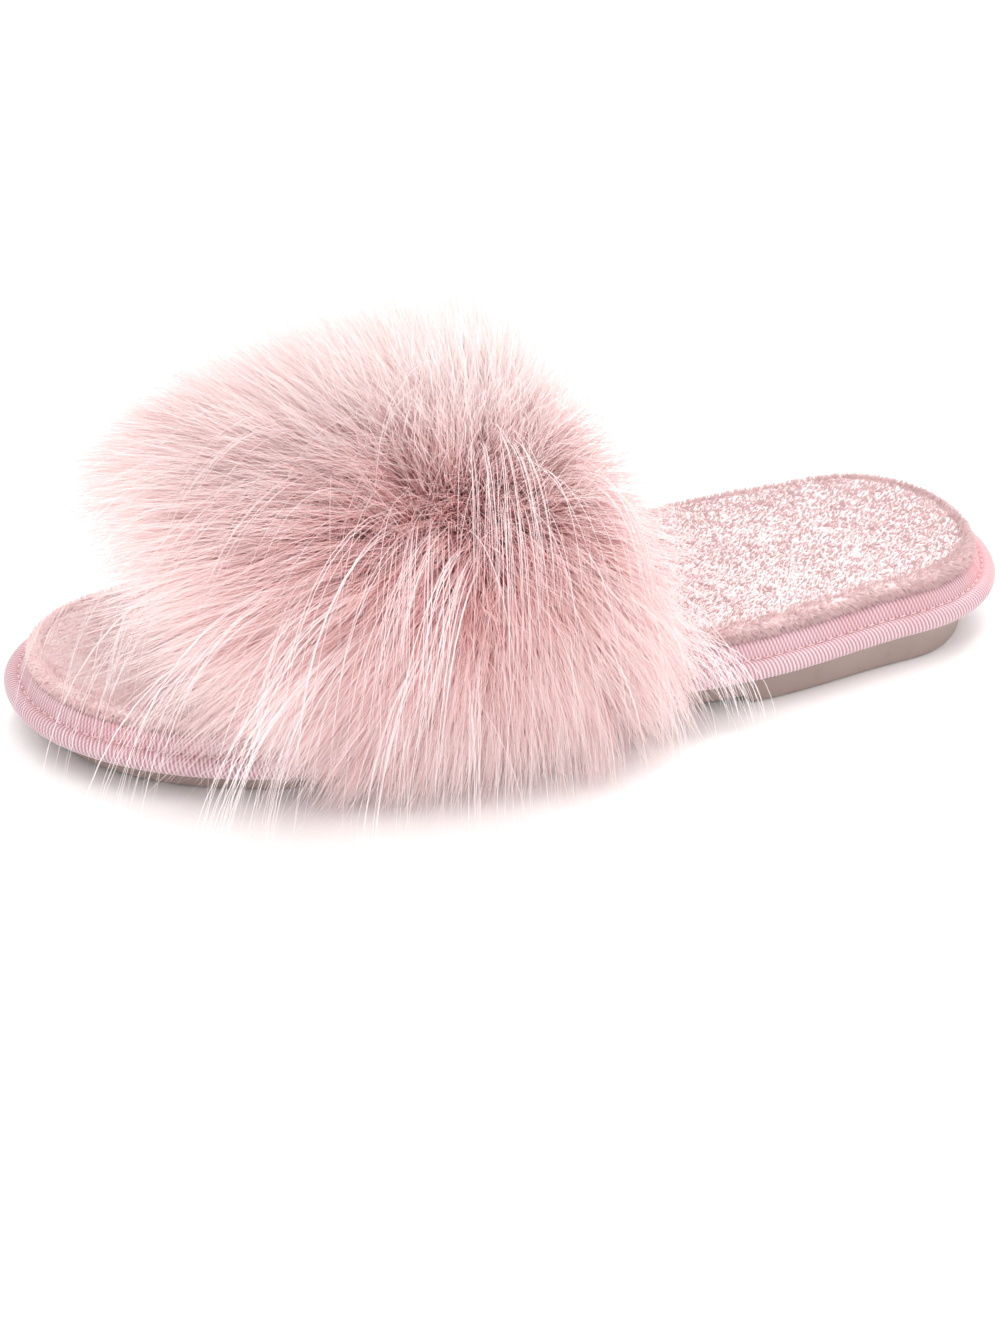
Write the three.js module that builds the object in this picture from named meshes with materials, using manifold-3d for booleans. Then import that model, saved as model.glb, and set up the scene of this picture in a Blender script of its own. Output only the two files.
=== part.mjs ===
// Open-toe slide slipper for the left foot, with a deep-pile fur strap, a plush insole, a ribbed
// ribbon bound round the footbed's edge, and a rubber sole with a low heel pad.
// Millimetres. +X points to the toe, +Y to the outer side of the foot, +Z up.
// The origin is on the floor, under the middle of the heel.
import * as THREE from "three";
import { mergeVertices } from "three/addons/utils/BufferGeometryUtils.js";
import Module from "manifold-3d";

const wasm = await Module();
wasm.setup();

// Footbed outline, measured over the ribbon
const footbedLength = 258;
const heelCentre = 37;
const heelWidth = 75;
const waistWidth = 73;
const ballWidth = 90;

// Heights of the sole, from the floor to the underside of the footbed
const heelSoleHeight = 10;
const foreSoleHeight = 7.6;
const toeSpring = 2.4;

// Where along the footbed its underside slopes down, and where its toe springs up, as shares of
// its length
const slopeFrom = 0.15;
const slopeTo = 0.65;
const springFrom = 0.78;

// Outsole
const soleInsetHeel = 4.8;
const soleInsetToe = 9;
const soleHeelTuck = 3.4;
const soleTuckEnd = 0.12;
const soleDraft = 0.7;
const soleEdgeRound = 1.6;
const shankRecess = 2.2;
const shankStart = 44;
const shankLength = 62;
const shankSlope = 2.4;

// Footbed board and the ribbon bound round it
const footbedThickness = 5.4;
const ribbonThickness = 0.9;
const ribbonUnder = 9;
const ribbonOver = 9.4;
const stitchInset = 5.8;
const stitchSink = 0.9;
const flangeRise = 1;
const flangeRound = 1;
const flangeDip = 0.4;

// Plush insole
const plushEdgeHeight = 4.6;
const plushOverhang = 2.6;
const plushCrown = 1.2;
const plushCrownStart = 0.12;
const plushCrownEnd = 0.86;
const plushRound = 3;
const plushRoundDrop = 0.3;

// Strap of the upper
const strapWall = 2.4;
const strapFootInset = 4.1;
const strapRearFoot = 74;
const strapRearTop = 92;
const strapFrontFoot = 146;
const strapFrontTop = 156;
const throatRise = 56;
const toeRise = 44;
const strapCrownShift = 5;
const strapEdgeCurve = 1.25;
const strapSideCurve = 0.92;
const strapTopCurve = 0.88;
const strapUprightShare = 0.08;

// Deep fur on the strap. Its hairs fan out from the strap, and hang at the sides.
const furTopLength = 41;
const furSideLength = 24;
const furTuftDepth = 6;
const furFanBack = 24;
const furFanFront = 68;
const furFanFrontSide = 84;
const furFrontFlare = 12;
const furSideDroop = 17;
const furTopDroop = 5;
const furFloorGap = 2;
const furSettle = 3;
const furFoot = 0.014;

// Locks fused on the fur
const lockRadius = 5;
const lockReach = 1.25;
const lockRoot = 0.52;
const lockTip = 0.15;
const guardRadius = 3.4;
const guardRoot = 0.2;
const guardLength = 62;
const guardDroop = 52;
const guardSpread = 0.6;
const lockSwing = 0.05;

// Gap kept between two pieces that touch
const seat = 0.3;

// Edges shorter than this are drawn together after a cut
const shortestEdge = 0.03;

// Mesh fineness
const halfStations = 30;
const beadSteps = 5;
const plushStations = 6;
const strapStations = 8;
const strapSteps = 28;
const lockSides = 5;
const lockSteps = 4;

const clamp = (value, low, high) => Math.min(high, Math.max(low, value));
const mix = (a, b, share) => a + (b - a) * share;
const ease = (value, from, to) => {
  const share = clamp((value - from) / (to - from), 0, 1);
  return share * share * (3 - 2 * share);
};

// Plan outline: distances from the long axis to the outer (+Y) and the inner (-Y) edge. The
// places are shares of the footbed's length, from the back of the heel.
const outlineRows = [
  { along: 0.0, outer: 0.5 * heelWidth, inner: 0.5 * heelWidth },
  { along: 0.14, outer: 0.5 * heelWidth, inner: 0.5 * heelWidth },
  { along: 0.3, outer: 0.562 * heelWidth, inner: 0.515 * heelWidth },
  { along: 0.47, outer: 0.54 * waistWidth, inner: 0.485 * waistWidth },
  { along: 0.63, outer: 0.482 * ballWidth, inner: 0.425 * ballWidth },
  { along: 0.77, outer: 0.442 * ballWidth, inner: 0.558 * ballWidth },
  { along: 0.89, outer: 0.36 * ballWidth, inner: 0.632 * ballWidth },
  { along: 1.0, outer: 0.316 * ballWidth, inner: 0.648 * ballWidth },
];
const heelEnd = { share: 0.14, power: 2.1 };
const toeEnd = { share: 0.21, power: 2.13 };

// A smooth curve through one column of a table, level at both ends.
function through(rows, column) {
  const slopes = rows.map((row, i) => {
    if (i === 0 || i === rows.length - 1) return 0;
    return (
      (rows[i + 1][column] - rows[i - 1][column]) /
      (rows[i + 1].along - rows[i - 1].along)
    );
  });
  return (along) => {
    let i = 0;
    while (i < rows.length - 2 && along > rows[i + 1].along) i += 1;
    const span = rows[i + 1].along - rows[i].along;
    const t = clamp((along - rows[i].along) / span, 0, 1);
    const rise = t * t * (3 - 2 * t);
    return (
      mix(rows[i][column], rows[i + 1][column], rise) +
      span * slopes[i] * t * (1 - t) * (1 - t) -
      span * slopes[i + 1] * t * t * (1 - t)
    );
  };
}
const outerEdge = through(outlineRows, "outer");
const innerEdge = through(outlineRows, "inner");

const alongOf = (x) => (x + heelCentre) / footbedLength;
const roundEnd = (depth, power) =>
  Math.pow(1 - Math.pow(clamp(depth, 0, 1), power), 1 / power);

// The footbed's middle line and half width at a place along the shoe.
function footbedAt(along) {
  const outer = outerEdge(along);
  const inner = innerEdge(along);
  const heelDepth = (heelEnd.share - along) / heelEnd.share;
  const toeDepth = (along - 1 + toeEnd.share) / toeEnd.share;
  const ends = roundEnd(heelDepth, heelEnd.power) * roundEnd(toeDepth, toeEnd.power);
  return { middle: (outer - inner) / 2, half: ((outer + inner) / 2) * ends };
}

// The underside of the footbed, which is the top of the outsole.
const springAt = (x) => {
  const share = clamp((alongOf(x) - springFrom) / (1 - springFrom), 0, 1);
  return toeSpring * share * share;
};
const baseAt = (x) =>
  mix(heelSoleHeight, foreSoleHeight, ease(alongOf(x), slopeFrom, slopeTo)) + springAt(x);

// The footbed's edge as a closed ring of plan points, counter-clockwise from the back of the
// heel. Point i and point (count - i) lie across from each other. An inset moves it inwards.
const ringCount = 2 * halfStations;
function footbedRing(insetAt) {
  const plan = [];
  for (let i = 0; i < ringCount; i += 1) {
    const step = i <= halfStations ? i : ringCount - i;
    const along = (1 - Math.cos((Math.PI * step) / halfStations)) / 2;
    const { middle, half } = footbedAt(along);
    const side = i <= halfStations ? -1 : 1;
    plan.push(new THREE.Vector2(along * footbedLength - heelCentre, middle + side * half));
  }
  return plan.map((point, i) => {
    const before = plan[(i + ringCount - 1) % ringCount];
    const after = plan[(i + 1) % ringCount];
    const run = after.clone().sub(before).normalize();
    const inset = typeof insetAt === "function" ? insetAt(point.x) : insetAt;
    return new THREE.Vector2(point.x - run.y * inset, point.y + run.x * inset);
  });
}
const ringAt = (insetAt, heightAt) =>
  footbedRing(insetAt).map((point) => [point.x, point.y, heightAt(point.x)]);

function geometryOf(points, triangles) {
  const geometry = new THREE.BufferGeometry();
  geometry.setAttribute("position", new THREE.Float32BufferAttribute(points.flat(), 3));
  geometry.setIndex(triangles);
  return geometry;
}

// Joins each ring to the next with a band of triangles. Rings run from the underside outwards
// and up. With closed set, the last ring joins the first.
function bandTriangles(triangles, count, rings, closed) {
  const bands = closed ? rings : rings - 1;
  for (let r = 0; r < bands; r += 1) {
    const low = r * count;
    const high = ((r + 1) % rings) * count;
    for (let i = 0; i < count; i += 1) {
      const j = (i + 1) % count;
      triangles.push(low + i, low + j, high + j, low + i, high + j, high + i);
    }
  }
}

// Closes a ring with rows of points across the shoe. The lift raises the middle of each row.
function capTriangles(points, triangles, first, lift, across, upwards) {
  const rows = [];
  for (let i = 0; i <= halfStations; i += 1) {
    if (i === 0 || i === halfStations) {
      rows.push([first + i]);
      continue;
    }
    const right = points[first + i];
    const left = points[first + ringCount - i];
    const row = [first + i];
    for (let k = 1; k < across; k += 1) {
      const share = k / across;
      const raised = lift(right[0], share);
      row.push(points.length);
      points.push([0, 1, 2].map((n) => mix(right[n], left[n], share) + (n === 2 ? raised : 0)));
    }
    row.push(first + ringCount - i);
    rows.push(row);
  }
  const add = (a, b, c) => triangles.push(...(upwards ? [a, b, c] : [a, c, b]));
  for (let i = 0; i < halfStations; i += 1) {
    const back = rows[i];
    const front = rows[i + 1];
    if (back.length === 1) {
      for (let k = 0; k + 1 < front.length; k += 1) add(back[0], front[k], front[k + 1]);
    } else if (front.length === 1) {
      for (let k = 0; k + 1 < back.length; k += 1) add(back[k], front[0], back[k + 1]);
    } else {
      for (let k = 0; k + 1 < back.length; k += 1) {
        add(back[k], front[k], front[k + 1]);
        add(back[k], front[k + 1], back[k + 1]);
      }
    }
  }
}

const level = () => 0;

// A solid that fills the outline: rings of one profile, closed under and over.
function slabOf(profile, lift = level, across = 1) {
  const points = profile.flatMap((row) => ringAt(row.inset, row.height));
  const triangles = [];
  bandTriangles(triangles, ringCount, profile.length, false);
  capTriangles(points, triangles, 0, level, 1, false);
  capTriangles(points, triangles, (profile.length - 1) * ringCount, lift, across, true);
  return geometryOf(points, triangles);
}

function manifoldOf(geometry) {
  const bare = geometry.index ? geometry.toNonIndexed() : geometry.clone();
  bare.deleteAttribute("normal");
  bare.deleteAttribute("uv");
  const merged = mergeVertices(bare, 1e-4);
  return new wasm.Manifold(
    new wasm.Mesh({
      numProp: 3,
      vertProperties: merged.attributes.position.array,
      triVerts: new Uint32Array(merged.index.array),
    }),
  );
}

function geometryFrom(solid) {
  const mesh = solid.getMesh();
  const geometry = new THREE.BufferGeometry();
  geometry.setAttribute("position", new THREE.BufferAttribute(mesh.vertProperties, 3));
  geometry.setIndex(new THREE.BufferAttribute(mesh.triVerts, 1));
  return geometry;
}

// Draws together the ends of edges that are too short to matter, and keeps the largest shell.
function cleaned(geometry) {
  const position = geometry.attributes.position;
  const index = Array.from(geometry.index.array);
  const leader = Array.from({ length: position.count }, (_, i) => i);
  const leaderOf = (i) => {
    while (leader[i] !== i) i = leader[i];
    return i;
  };
  const pointAt = (i) => new THREE.Vector3().fromBufferAttribute(position, i);
  for (let i = 0; i < index.length; i += 1) {
    const a = leaderOf(index[i]);
    const b = leaderOf(index[i % 3 === 2 ? i - 2 : i + 1]);
    if (a !== b && pointAt(a).distanceTo(pointAt(b)) < shortestEdge) leader[b] = a;
  }
  const kept = [];
  for (let i = 0; i < index.length; i += 3) {
    const corners = [0, 1, 2].map((k) => leaderOf(index[i + k]));
    if (new Set(corners).size === 3) kept.push(corners);
  }
  for (const [a, b, c] of kept) {
    leader[leaderOf(b)] = leaderOf(a);
    leader[leaderOf(c)] = leaderOf(a);
  }
  const shells = new Map();
  for (const corners of kept) {
    const first = leaderOf(corners[0]);
    if (!shells.has(first)) shells.set(first, []);
    shells.get(first).push(...corners);
  }
  const bySize = [...shells.values()].sort((a, b) => b.length - a.length);
  geometry.setIndex(bySize[0]);
  return geometry;
}

// How far the outsole's top edge lies inside the footbed's: more at the toe and behind the heel
const soleInset = (x) => {
  const side = mix(soleInsetHeel, soleInsetToe, ease(alongOf(x), 0, 1));
  return side + soleHeelTuck * (1 - ease(alongOf(x), 0, soleTuckEnd));
};

// Outsole: heel pad and forefoot pad on one plane, with a recessed shank between them
function outsole() {
  const rounded = (1 - Math.SQRT1_2) * soleEdgeRound;
  const body = slabOf([
    { inset: (x) => soleInset(x) + soleDraft + soleEdgeRound, height: springAt },
    { inset: (x) => soleInset(x) + soleDraft + rounded, height: (x) => springAt(x) + rounded },
    { inset: (x) => soleInset(x) + soleDraft, height: (x) => springAt(x) + soleEdgeRound },
    { inset: soleInset, height: baseAt },
  ]);
  const reach = heelWidth + ballWidth;
  const end = shankStart + shankLength;
  const under = -shankRecess;
  const side = new THREE.Shape([
    new THREE.Vector2(shankStart - shankSlope, under),
    new THREE.Vector2(end + shankSlope, under),
    new THREE.Vector2(end, 0),
    new THREE.Vector2(end - shankSlope, shankRecess),
    new THREE.Vector2(shankStart + shankSlope, shankRecess),
    new THREE.Vector2(shankStart, 0),
  ]);
  const cutter = new THREE.ExtrudeGeometry(side, { depth: reach, bevelEnabled: false, steps: 1 });
  cutter.rotateX(Math.PI / 2);
  cutter.translate(0, reach / 2, 0);
  return geometryFrom(manifoldOf(body).subtract(manifoldOf(cutter)));
}

// The edge's section, in insets from the outline and heights above the outsole's top. A skin of
// 0 gives the footbed board's own face, and a larger one a face that much further out.
const ribbonSkin = seat + ribbonThickness;
const boardBottom = seat + ribbonSkin;
const boardTop = boardBottom + footbedThickness;
const flangeTop = boardTop + flangeRise;
const edgeInset = ribbonSkin;
function edgeFace(skin) {
  const half = footbedThickness / 2;
  const middle = boardBottom + half;
  const face = [];
  for (let k = 0; k <= beadSteps; k += 1) {
    const turn = mix(-90, 90, k / beadSteps) * THREE.MathUtils.DEG2RAD;
    face.push({
      inset: edgeInset + half - (half + skin) * Math.cos(turn),
      height: middle + (half + skin) * Math.sin(turn),
    });
  }
  return [
    ...face,
    { inset: stitchInset, height: boardTop + skin - stitchSink },
    { inset: ribbonOver - flangeRound, height: flangeTop + skin - flangeDip },
    { inset: ribbonOver, height: flangeTop + skin },
  ];
}
const lifted = (height) => (x) => baseAt(x) + height;
const placed = (row) => ({ inset: row.inset, height: lifted(row.height) });

// Footbed board: a foam sheet with a round edge, pinched along the line of stitches. Its
// underside steps down to the outsole inside the ribbon.
function footbed() {
  const inside = ribbonUnder + seat;
  return slabOf(
    [
      { inset: inside, height: seat },
      { inset: inside, height: boardBottom },
      ...edgeFace(0),
    ].map(placed),
  );
}

// Ribbon: one strip folded round the footbed's edge, from under it to the edge of the plush
function ribbonBinding() {
  const outside = [
    { inset: ribbonUnder, height: seat },
    ...edgeFace(ribbonSkin),
  ];
  const inside = [
    { inset: ribbonUnder, height: boardBottom - seat },
    ...edgeFace(seat),
  ];
  const loop = [...outside, ...inside.reverse()].map(placed);
  const points = loop.flatMap((row) => ringAt(row.inset, row.height));
  const triangles = [];
  bandTriangles(triangles, ringCount, loop.length, true);
  return geometryOf(points, triangles);
}

// Plush insole: a thick pile that swells over the ribbon's inner edge
const plushBottom = flangeTop + seat;
const plushShoulder = plushBottom + plushEdgeHeight;
function plushInsole(grown = 0) {
  const foot = ribbonOver + seat;
  const overhang = foot - plushOverhang;
  const overRibbon = flangeTop + ribbonSkin + seat;
  const crown = (x, share) => {
    const along = alongOf(x);
    const ends = ease(along, 0, plushCrownStart) * (1 - ease(along, plushCrownEnd, 1));
    return plushCrown * ends * (1 - Math.pow(2 * share - 1, 2));
  };
  const profile = [
    { inset: foot, height: plushBottom },
    { inset: foot, height: overRibbon - grown },
    { inset: overhang - grown, height: mix(overRibbon, plushShoulder, 0.25) },
    { inset: overhang - grown, height: mix(overRibbon, plushShoulder, 0.55) },
    { inset: foot - grown, height: plushShoulder - plushRoundDrop + grown },
    { inset: foot + plushRound, height: plushShoulder + grown },
  ];
  return slabOf(profile.map(placed), crown, plushStations);
}

// The strap's outer face. u runs from the throat (0) to the toe opening (1), and v over the
// foot from its outer side (0) to its inner side (1).
const strapFootHeight = boardTop + ribbonSkin + seat;
function strapPoint(u, v, skin = 0) {
  const turn = Math.PI * clamp(v, 0, 1);
  const up = Math.pow(Math.sin(turn), strapEdgeCurve);
  const rear = mix(strapRearFoot, strapRearTop, up);
  const front = mix(strapFrontFoot, strapFrontTop, up);
  const x = mix(rear, front, u);
  const { middle, half } = footbedAt(alongOf(x));
  const reach = half - strapFootInset;
  const cosine = Math.cos(turn);
  const across = Math.sign(cosine) * Math.pow(Math.abs(cosine), strapSideCurve);
  const rise = mix(throatRise, toeRise, u) * Math.pow(Math.sin(turn), strapTopCurve);
  const point = new THREE.Vector3(
    x,
    middle + reach * across - strapCrownShift * Math.sin(turn) * Math.sin(turn),
    baseAt(x) + strapFootHeight + rise,
  );
  if (skin !== 0) point.addScaledVector(strapNormal(u, v), skin);
  return point;
}

// The strap's outward direction, level at its feet so that they stand upright on the ribbon
function strapNormal(u, v) {
  const step = 0.01;
  const low = clamp(v, step, 1 - step);
  const alongRun = strapPoint(u + step, low).sub(strapPoint(u - step, low));
  const overRun = strapPoint(u, low + step).sub(strapPoint(u, low - step));
  const normal = alongRun.cross(overRun).normalize().negate();
  const upright = ease(Math.min(v, 1 - v), 0, strapUprightShare);
  normal.z *= upright;
  normal.x *= upright;
  return normal.normalize();
}

// Sweeps one closed loop of flat coordinates over the foot, from the outer side to the inner,
// and closes both ends. placeAt turns a loop's point and its place v over the foot into a point.
function sweepOver(loop, steps, placeAt) {
  const points = [];
  for (let k = 0; k <= steps; k += 1) {
    for (const [i, flat] of loop.entries()) {
      points.push(placeAt(flat.x, flat.y, k / steps, i, k).toArray());
    }
  }
  const triangles = [];
  bandTriangles(triangles, loop.length, steps + 1, false);
  const last = steps * loop.length;
  for (let i = 0; i < loop.length / 2 - 1; i += 1) {
    const [a, b, c, d] = [i, i + 1, loop.length - 2 - i, loop.length - 1 - i];
    triangles.push(a, c, b, a, d, c);
    triangles.push(last + a, last + b, last + c, last + a, last + c, last + d);
  }
  return geometryOf(points, triangles);
}

// A closed loop round a flat strip, with stations along both of its long sides
function stripLoop(stations, sideSteps) {
  const loop = [];
  for (let i = 0; i < stations; i += 1) loop.push(new THREE.Vector2(i / stations, 0));
  for (let i = 0; i < sideSteps; i += 1) loop.push(new THREE.Vector2(1, i / sideSteps));
  for (let i = stations; i > 0; i -= 1) loop.push(new THREE.Vector2(i / stations, 1));
  for (let i = sideSteps; i > 0; i -= 1) loop.push(new THREE.Vector2(0, i / sideSteps));
  return loop;
}

// Upper: the arched strap, open at the toe and the throat, on the ribbon at both sides
function strap() {
  return sweepOver(stripLoop(strapStations, 1), strapSteps, (u, out, v) =>
    strapPoint(u, v, -strapWall * (1 - out)),
  );
}

// The fur's length from the throat to the toe opening, as shares of its length at the middle
const furRows = [
  { along: 0, top: 0.66, side: 0.84 },
  { along: 0.25, top: 0.88, side: 0.95 },
  { along: 0.5, top: 1, side: 1 },
  { along: 1, top: 1.06, side: 0.98 },
];
const topShare = through(furRows, "top");
const sideShare = through(furRows, "side");

// The direction in which a hair leaves the strap: off its face, fanned to the heel and the toe
function hairAway(u, v, spread) {
  const front = mix(furFanFrontSide, furFanFront, Math.sin(Math.PI * clamp(v, 0, 1)));
  const fan = mix(-furFanBack, front, u) * spread * THREE.MathUtils.DEG2RAD;
  const away = strapNormal(u, v).multiplyScalar(Math.cos(fan));
  away.x += Math.sin(fan);
  return away;
}

// Hair that sinks towards the floor levels out just over it.
function settled(height) {
  const over = height - furFloorGap;
  return furFloorGap + (over + Math.hypot(over, furSettle)) / 2;
}

// A hair's path from its root on the strap (t = 0) to its tip (t = 1). The fur flares over the
// outer side's front shoulder.
function hairPoint(u, v, t, reach = 1) {
  const crown = Math.sin(Math.PI * v);
  const along = clamp(u, 0, 1);
  const top = furTopLength * topShare(along);
  const side = furSideLength * sideShare(along);
  const shoulder = Math.max(Math.sin(2 * Math.PI * v), 0) ** 4 * along ** 3;
  const length = (mix(side, top, crown) + furFrontFlare * shoulder) * reach;
  const point = strapPoint(u, v, seat).addScaledVector(hairAway(u, v, 1), length * t);
  point.z -= mix(furSideDroop, furTopDroop * (1 + along), crown) * reach * t * t;
  point.z = settled(point.z);
  return point;
}

// A guard hair's path: longer, out over the side, and down to lie just over the floor
function guardPoint(u, v, t) {
  const away = hairAway(u, v, guardSpread);
  const point = strapPoint(u, v, seat).addScaledVector(away, guardLength * t);
  point.z = settled(point.z - guardDroop * t * t);
  return point;
}

// A tapered lock round a path, closed at its root and pointed at its tip
function lockAlong(pathAt, from, radius) {
  const points = [];
  for (let k = 0; k < lockSteps; k += 1) {
    const share = k / lockSteps;
    const t = mix(from, 1, share);
    const centre = pathAt(t);
    const step = (1 - from) / lockSteps / 10;
    const run = pathAt(t + step).sub(pathAt(t - step)).normalize();
    const side = new THREE.Vector3(run.y, -run.x, 0).normalize();
    const up = run.clone().cross(side);
    const around = radius * (1 - (1 - lockTip) * share * share);
    for (let i = 0; i < lockSides; i += 1) {
      const turn = (2 * Math.PI * i) / lockSides;
      const point = centre.clone().addScaledVector(side, around * Math.cos(turn));
      points.push(point.addScaledVector(up, around * Math.sin(turn)).toArray());
    }
  }
  const triangles = [];
  bandTriangles(triangles, lockSides, lockSteps, false);
  const root = points.push(pathAt(from).toArray()) - 1;
  const tip = points.push(pathAt(1).toArray()) - 1;
  const last = (lockSteps - 1) * lockSides;
  for (let i = 0; i < lockSides; i += 1) {
    const j = (i + 1) % lockSides;
    triangles.push(j, i, root, last + i, last + j, tip);
  }
  return geometryOf(points, triangles);
}

// Where the fused locks grow: u along the strap, their count over the foot, and how far their
// tips pass the fur's own tufts
const lockRows = [
  { u: 0.02, count: 9, reach: 1.02 },
  { u: 0.24, count: 10, reach: 1.0 },
  { u: 0.48, count: 9, reach: 1.0 },
  { u: 0.72, count: 10, reach: 1.0 },
  { u: 0.98, count: 9, reach: 0.95 },
];
const guardRow = { count: 6, from: 0.25, to: 1, height: 0.1 };

// Fur: one body of tufts over the strap, with locks fused on, clear of the sole's edge
function fur() {
  const loop = stripLoop(strapStations, 2);
  const tufts = sweepOver(loop, strapSteps, (u, t, v, i, k) => {
    const short = (i + k) % 2 === 0 ? 0 : furTuftDepth / furTopLength;
    return hairPoint(u, clamp(v, furFoot, 1 - furFoot), t * (1 - short));
  });
  let body = manifoldOf(tufts);
  for (const [row, { u, count, reach }] of lockRows.entries()) {
    for (let i = 0; i < count; i += 1) {
      const v = (i + 0.5) / count;
      const swing = lockSwing * Math.sin(lockRows.length * i + row);
      const pathAt = (t) => hairPoint(u + swing, v, t, lockReach * reach);
      body = body.add(manifoldOf(lockAlong(pathAt, lockRoot, lockRadius)));
    }
  }
  for (let i = 0; i < guardRow.count; i += 1) {
    const u = mix(guardRow.from, guardRow.to, i / (guardRow.count - 1));
    for (const v of [guardRow.height, 1 - guardRow.height]) {
      body = body.add(manifoldOf(lockAlong((t) => guardPoint(u, v, t), guardRoot, guardRadius)));
    }
  }
  body = body.subtract(manifoldOf(soleEnvelope()));
  return cleaned(geometryFrom(body.subtract(manifoldOf(plushInsole(seat)))));
}

// The room that the sole, footbed and ribbon take up, with the gap that touching pieces keep
function soleEnvelope() {
  const below = -footbedLength;
  return slabOf([
    { inset: (x) => soleInset(x) - seat, height: () => below },
    { inset: (x) => soleInset(x) - seat, height: lifted(-2 * seat) },
    ...edgeFace(ribbonSkin + seat).map(placed),
  ]);
}

const named = (name, geometry, material) => {
  const mesh = new THREE.Mesh(geometry, material);
  mesh.name = name;
  return mesh;
};
const finish = (color, roughness) =>
  new THREE.MeshStandardMaterial({ color, roughness, metalness: 0 });

const slipper = new THREE.Group();
slipper.add(
  named("outsole", outsole(), finish(0x8f7c77, 0.5)),
  named("footbed", footbed(), finish(0xe8c8c8, 0.9)),
  named("edge_ribbon", ribbonBinding(), finish(0xe6b0ba, 0.7)),
  named("plush_insole", plushInsole(), finish(0xe9cdca, 0.95)),
  named("strap", strap(), finish(0xe3bcb9, 0.9)),
  named("fur", fur(), finish(0xe8c4c2, 0.95)),
);

export default slipper;
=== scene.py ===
"""Open-toe fur slide slipper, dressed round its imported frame.

The sizes below are in millimetres. They repeat the part's own, but for the fur's flares, limits
and shares. +X points to the toe, +Y to the outer side of the foot, +Z up, and the floor is at
zero. Meshes are written in metres.
"""

import math

import bpy
import numpy as np
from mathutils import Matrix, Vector
from mathutils.kdtree import KDTree


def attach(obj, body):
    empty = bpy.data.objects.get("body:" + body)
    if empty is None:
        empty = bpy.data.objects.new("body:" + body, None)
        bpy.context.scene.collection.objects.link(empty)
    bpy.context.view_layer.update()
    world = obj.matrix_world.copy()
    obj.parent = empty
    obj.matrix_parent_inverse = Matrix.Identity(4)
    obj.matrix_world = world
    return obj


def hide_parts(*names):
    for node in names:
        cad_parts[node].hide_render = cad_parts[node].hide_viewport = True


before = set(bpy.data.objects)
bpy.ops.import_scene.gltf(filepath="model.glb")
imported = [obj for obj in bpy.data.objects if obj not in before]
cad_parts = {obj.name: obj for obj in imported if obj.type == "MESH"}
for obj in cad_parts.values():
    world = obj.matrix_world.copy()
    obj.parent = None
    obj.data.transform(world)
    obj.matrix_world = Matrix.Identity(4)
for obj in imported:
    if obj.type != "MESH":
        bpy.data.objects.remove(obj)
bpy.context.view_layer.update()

MM = 0.001
BODY = "root"
random = np.random.default_rng(38)

# Footbed outline and the heights of its underside
FOOTBED_LENGTH = 258
HEEL_CENTRE = 37
HEEL_WIDTH = 75
WAIST_WIDTH = 73
BALL_WIDTH = 90
HEEL_SOLE = 10
FORE_SOLE = 7.6
TOE_SPRING = 2.4
SLOPE_FROM = 0.15
SLOPE_TO = 0.65
SPRING_FROM = 0.78

# Outsole
SOLE_INSET_HEEL = 4.8
SOLE_INSET_TOE = 9
SOLE_HEEL_TUCK = 3.4
SOLE_TUCK_END = 0.12
SOLE_DRAFT = 0.7
SOLE_EDGE_ROUND = 1.6
SHANK_RECESS = 2.2
SHANK_START = 44
SHANK_LENGTH = 62
SHANK_SLOPE = 2.4

# Footbed board, ribbon and plush
SEAT = 0.3
BOARD_THICKNESS = 5.4
RIBBON_THICKNESS = 0.9
RIBBON_UNDER = 9
RIBBON_OVER = 9.4
FLANGE_RISE = 1
PLUSH_EDGE = 4.6
PLUSH_OVERHANG = 2.6
PLUSH_CROWN = 1.2

# Strap
STRAP_WALL = 2.4
STRAP_FOOT_INSET = 4.1
STRAP_REAR_FOOT = 74
STRAP_REAR_TOP = 92
STRAP_FRONT_FOOT = 146
STRAP_FRONT_TOP = 156
THROAT_RISE = 56
TOE_RISE = 44
STRAP_SHIFT = 5
STRAP_EDGE_CURVE = 1.25
STRAP_SIDE_CURVE = 0.92
STRAP_TOP_CURVE = 0.88

# Fur
FUR_TOP = 41
FUR_SIDE = 24
FAN_BACK = 24
FAN_FRONT = 68
FAN_FRONT_SIDE = 84
FRONT_FLARE = 16
INNER_FLARE = 9
# Tips are pressed back past a limit: the axis, where that starts, and its softness
FUR_LIMITS = ((0, 220, 14), (2, 106, 10))
SIDE_DROOP = 17
TOP_DROOP = 5

# The footbed's half widths along its length, as shares of its named widths
OUTLINE_ROWS = {
    "along": [0, 0.14, 0.3, 0.47, 0.63, 0.77, 0.89, 1],
    "outer": [
        0.5 * HEEL_WIDTH, 0.5 * HEEL_WIDTH, 0.562 * HEEL_WIDTH, 0.54 * WAIST_WIDTH,
        0.482 * BALL_WIDTH, 0.442 * BALL_WIDTH, 0.36 * BALL_WIDTH, 0.316 * BALL_WIDTH,
    ],
    "inner": [
        0.5 * HEEL_WIDTH, 0.5 * HEEL_WIDTH, 0.515 * HEEL_WIDTH, 0.485 * WAIST_WIDTH,
        0.425 * BALL_WIDTH, 0.558 * BALL_WIDTH, 0.632 * BALL_WIDTH, 0.648 * BALL_WIDTH,
    ],
}
# The fur's length from the throat to the toe, as shares of its length at the crown and sides
FUR_ROWS = {
    "along": [0, 0.25, 0.5, 1],
    "top": [0.92, 1.08, 1.22, 1.32],
    "side": [0.84, 0.93, 0.84, 0.62],
}
# The rounding of each end: its share of the length, and its power
HEEL_END = (0.14, 2.1)
TOE_END = (0.21, 2.13)


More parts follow.
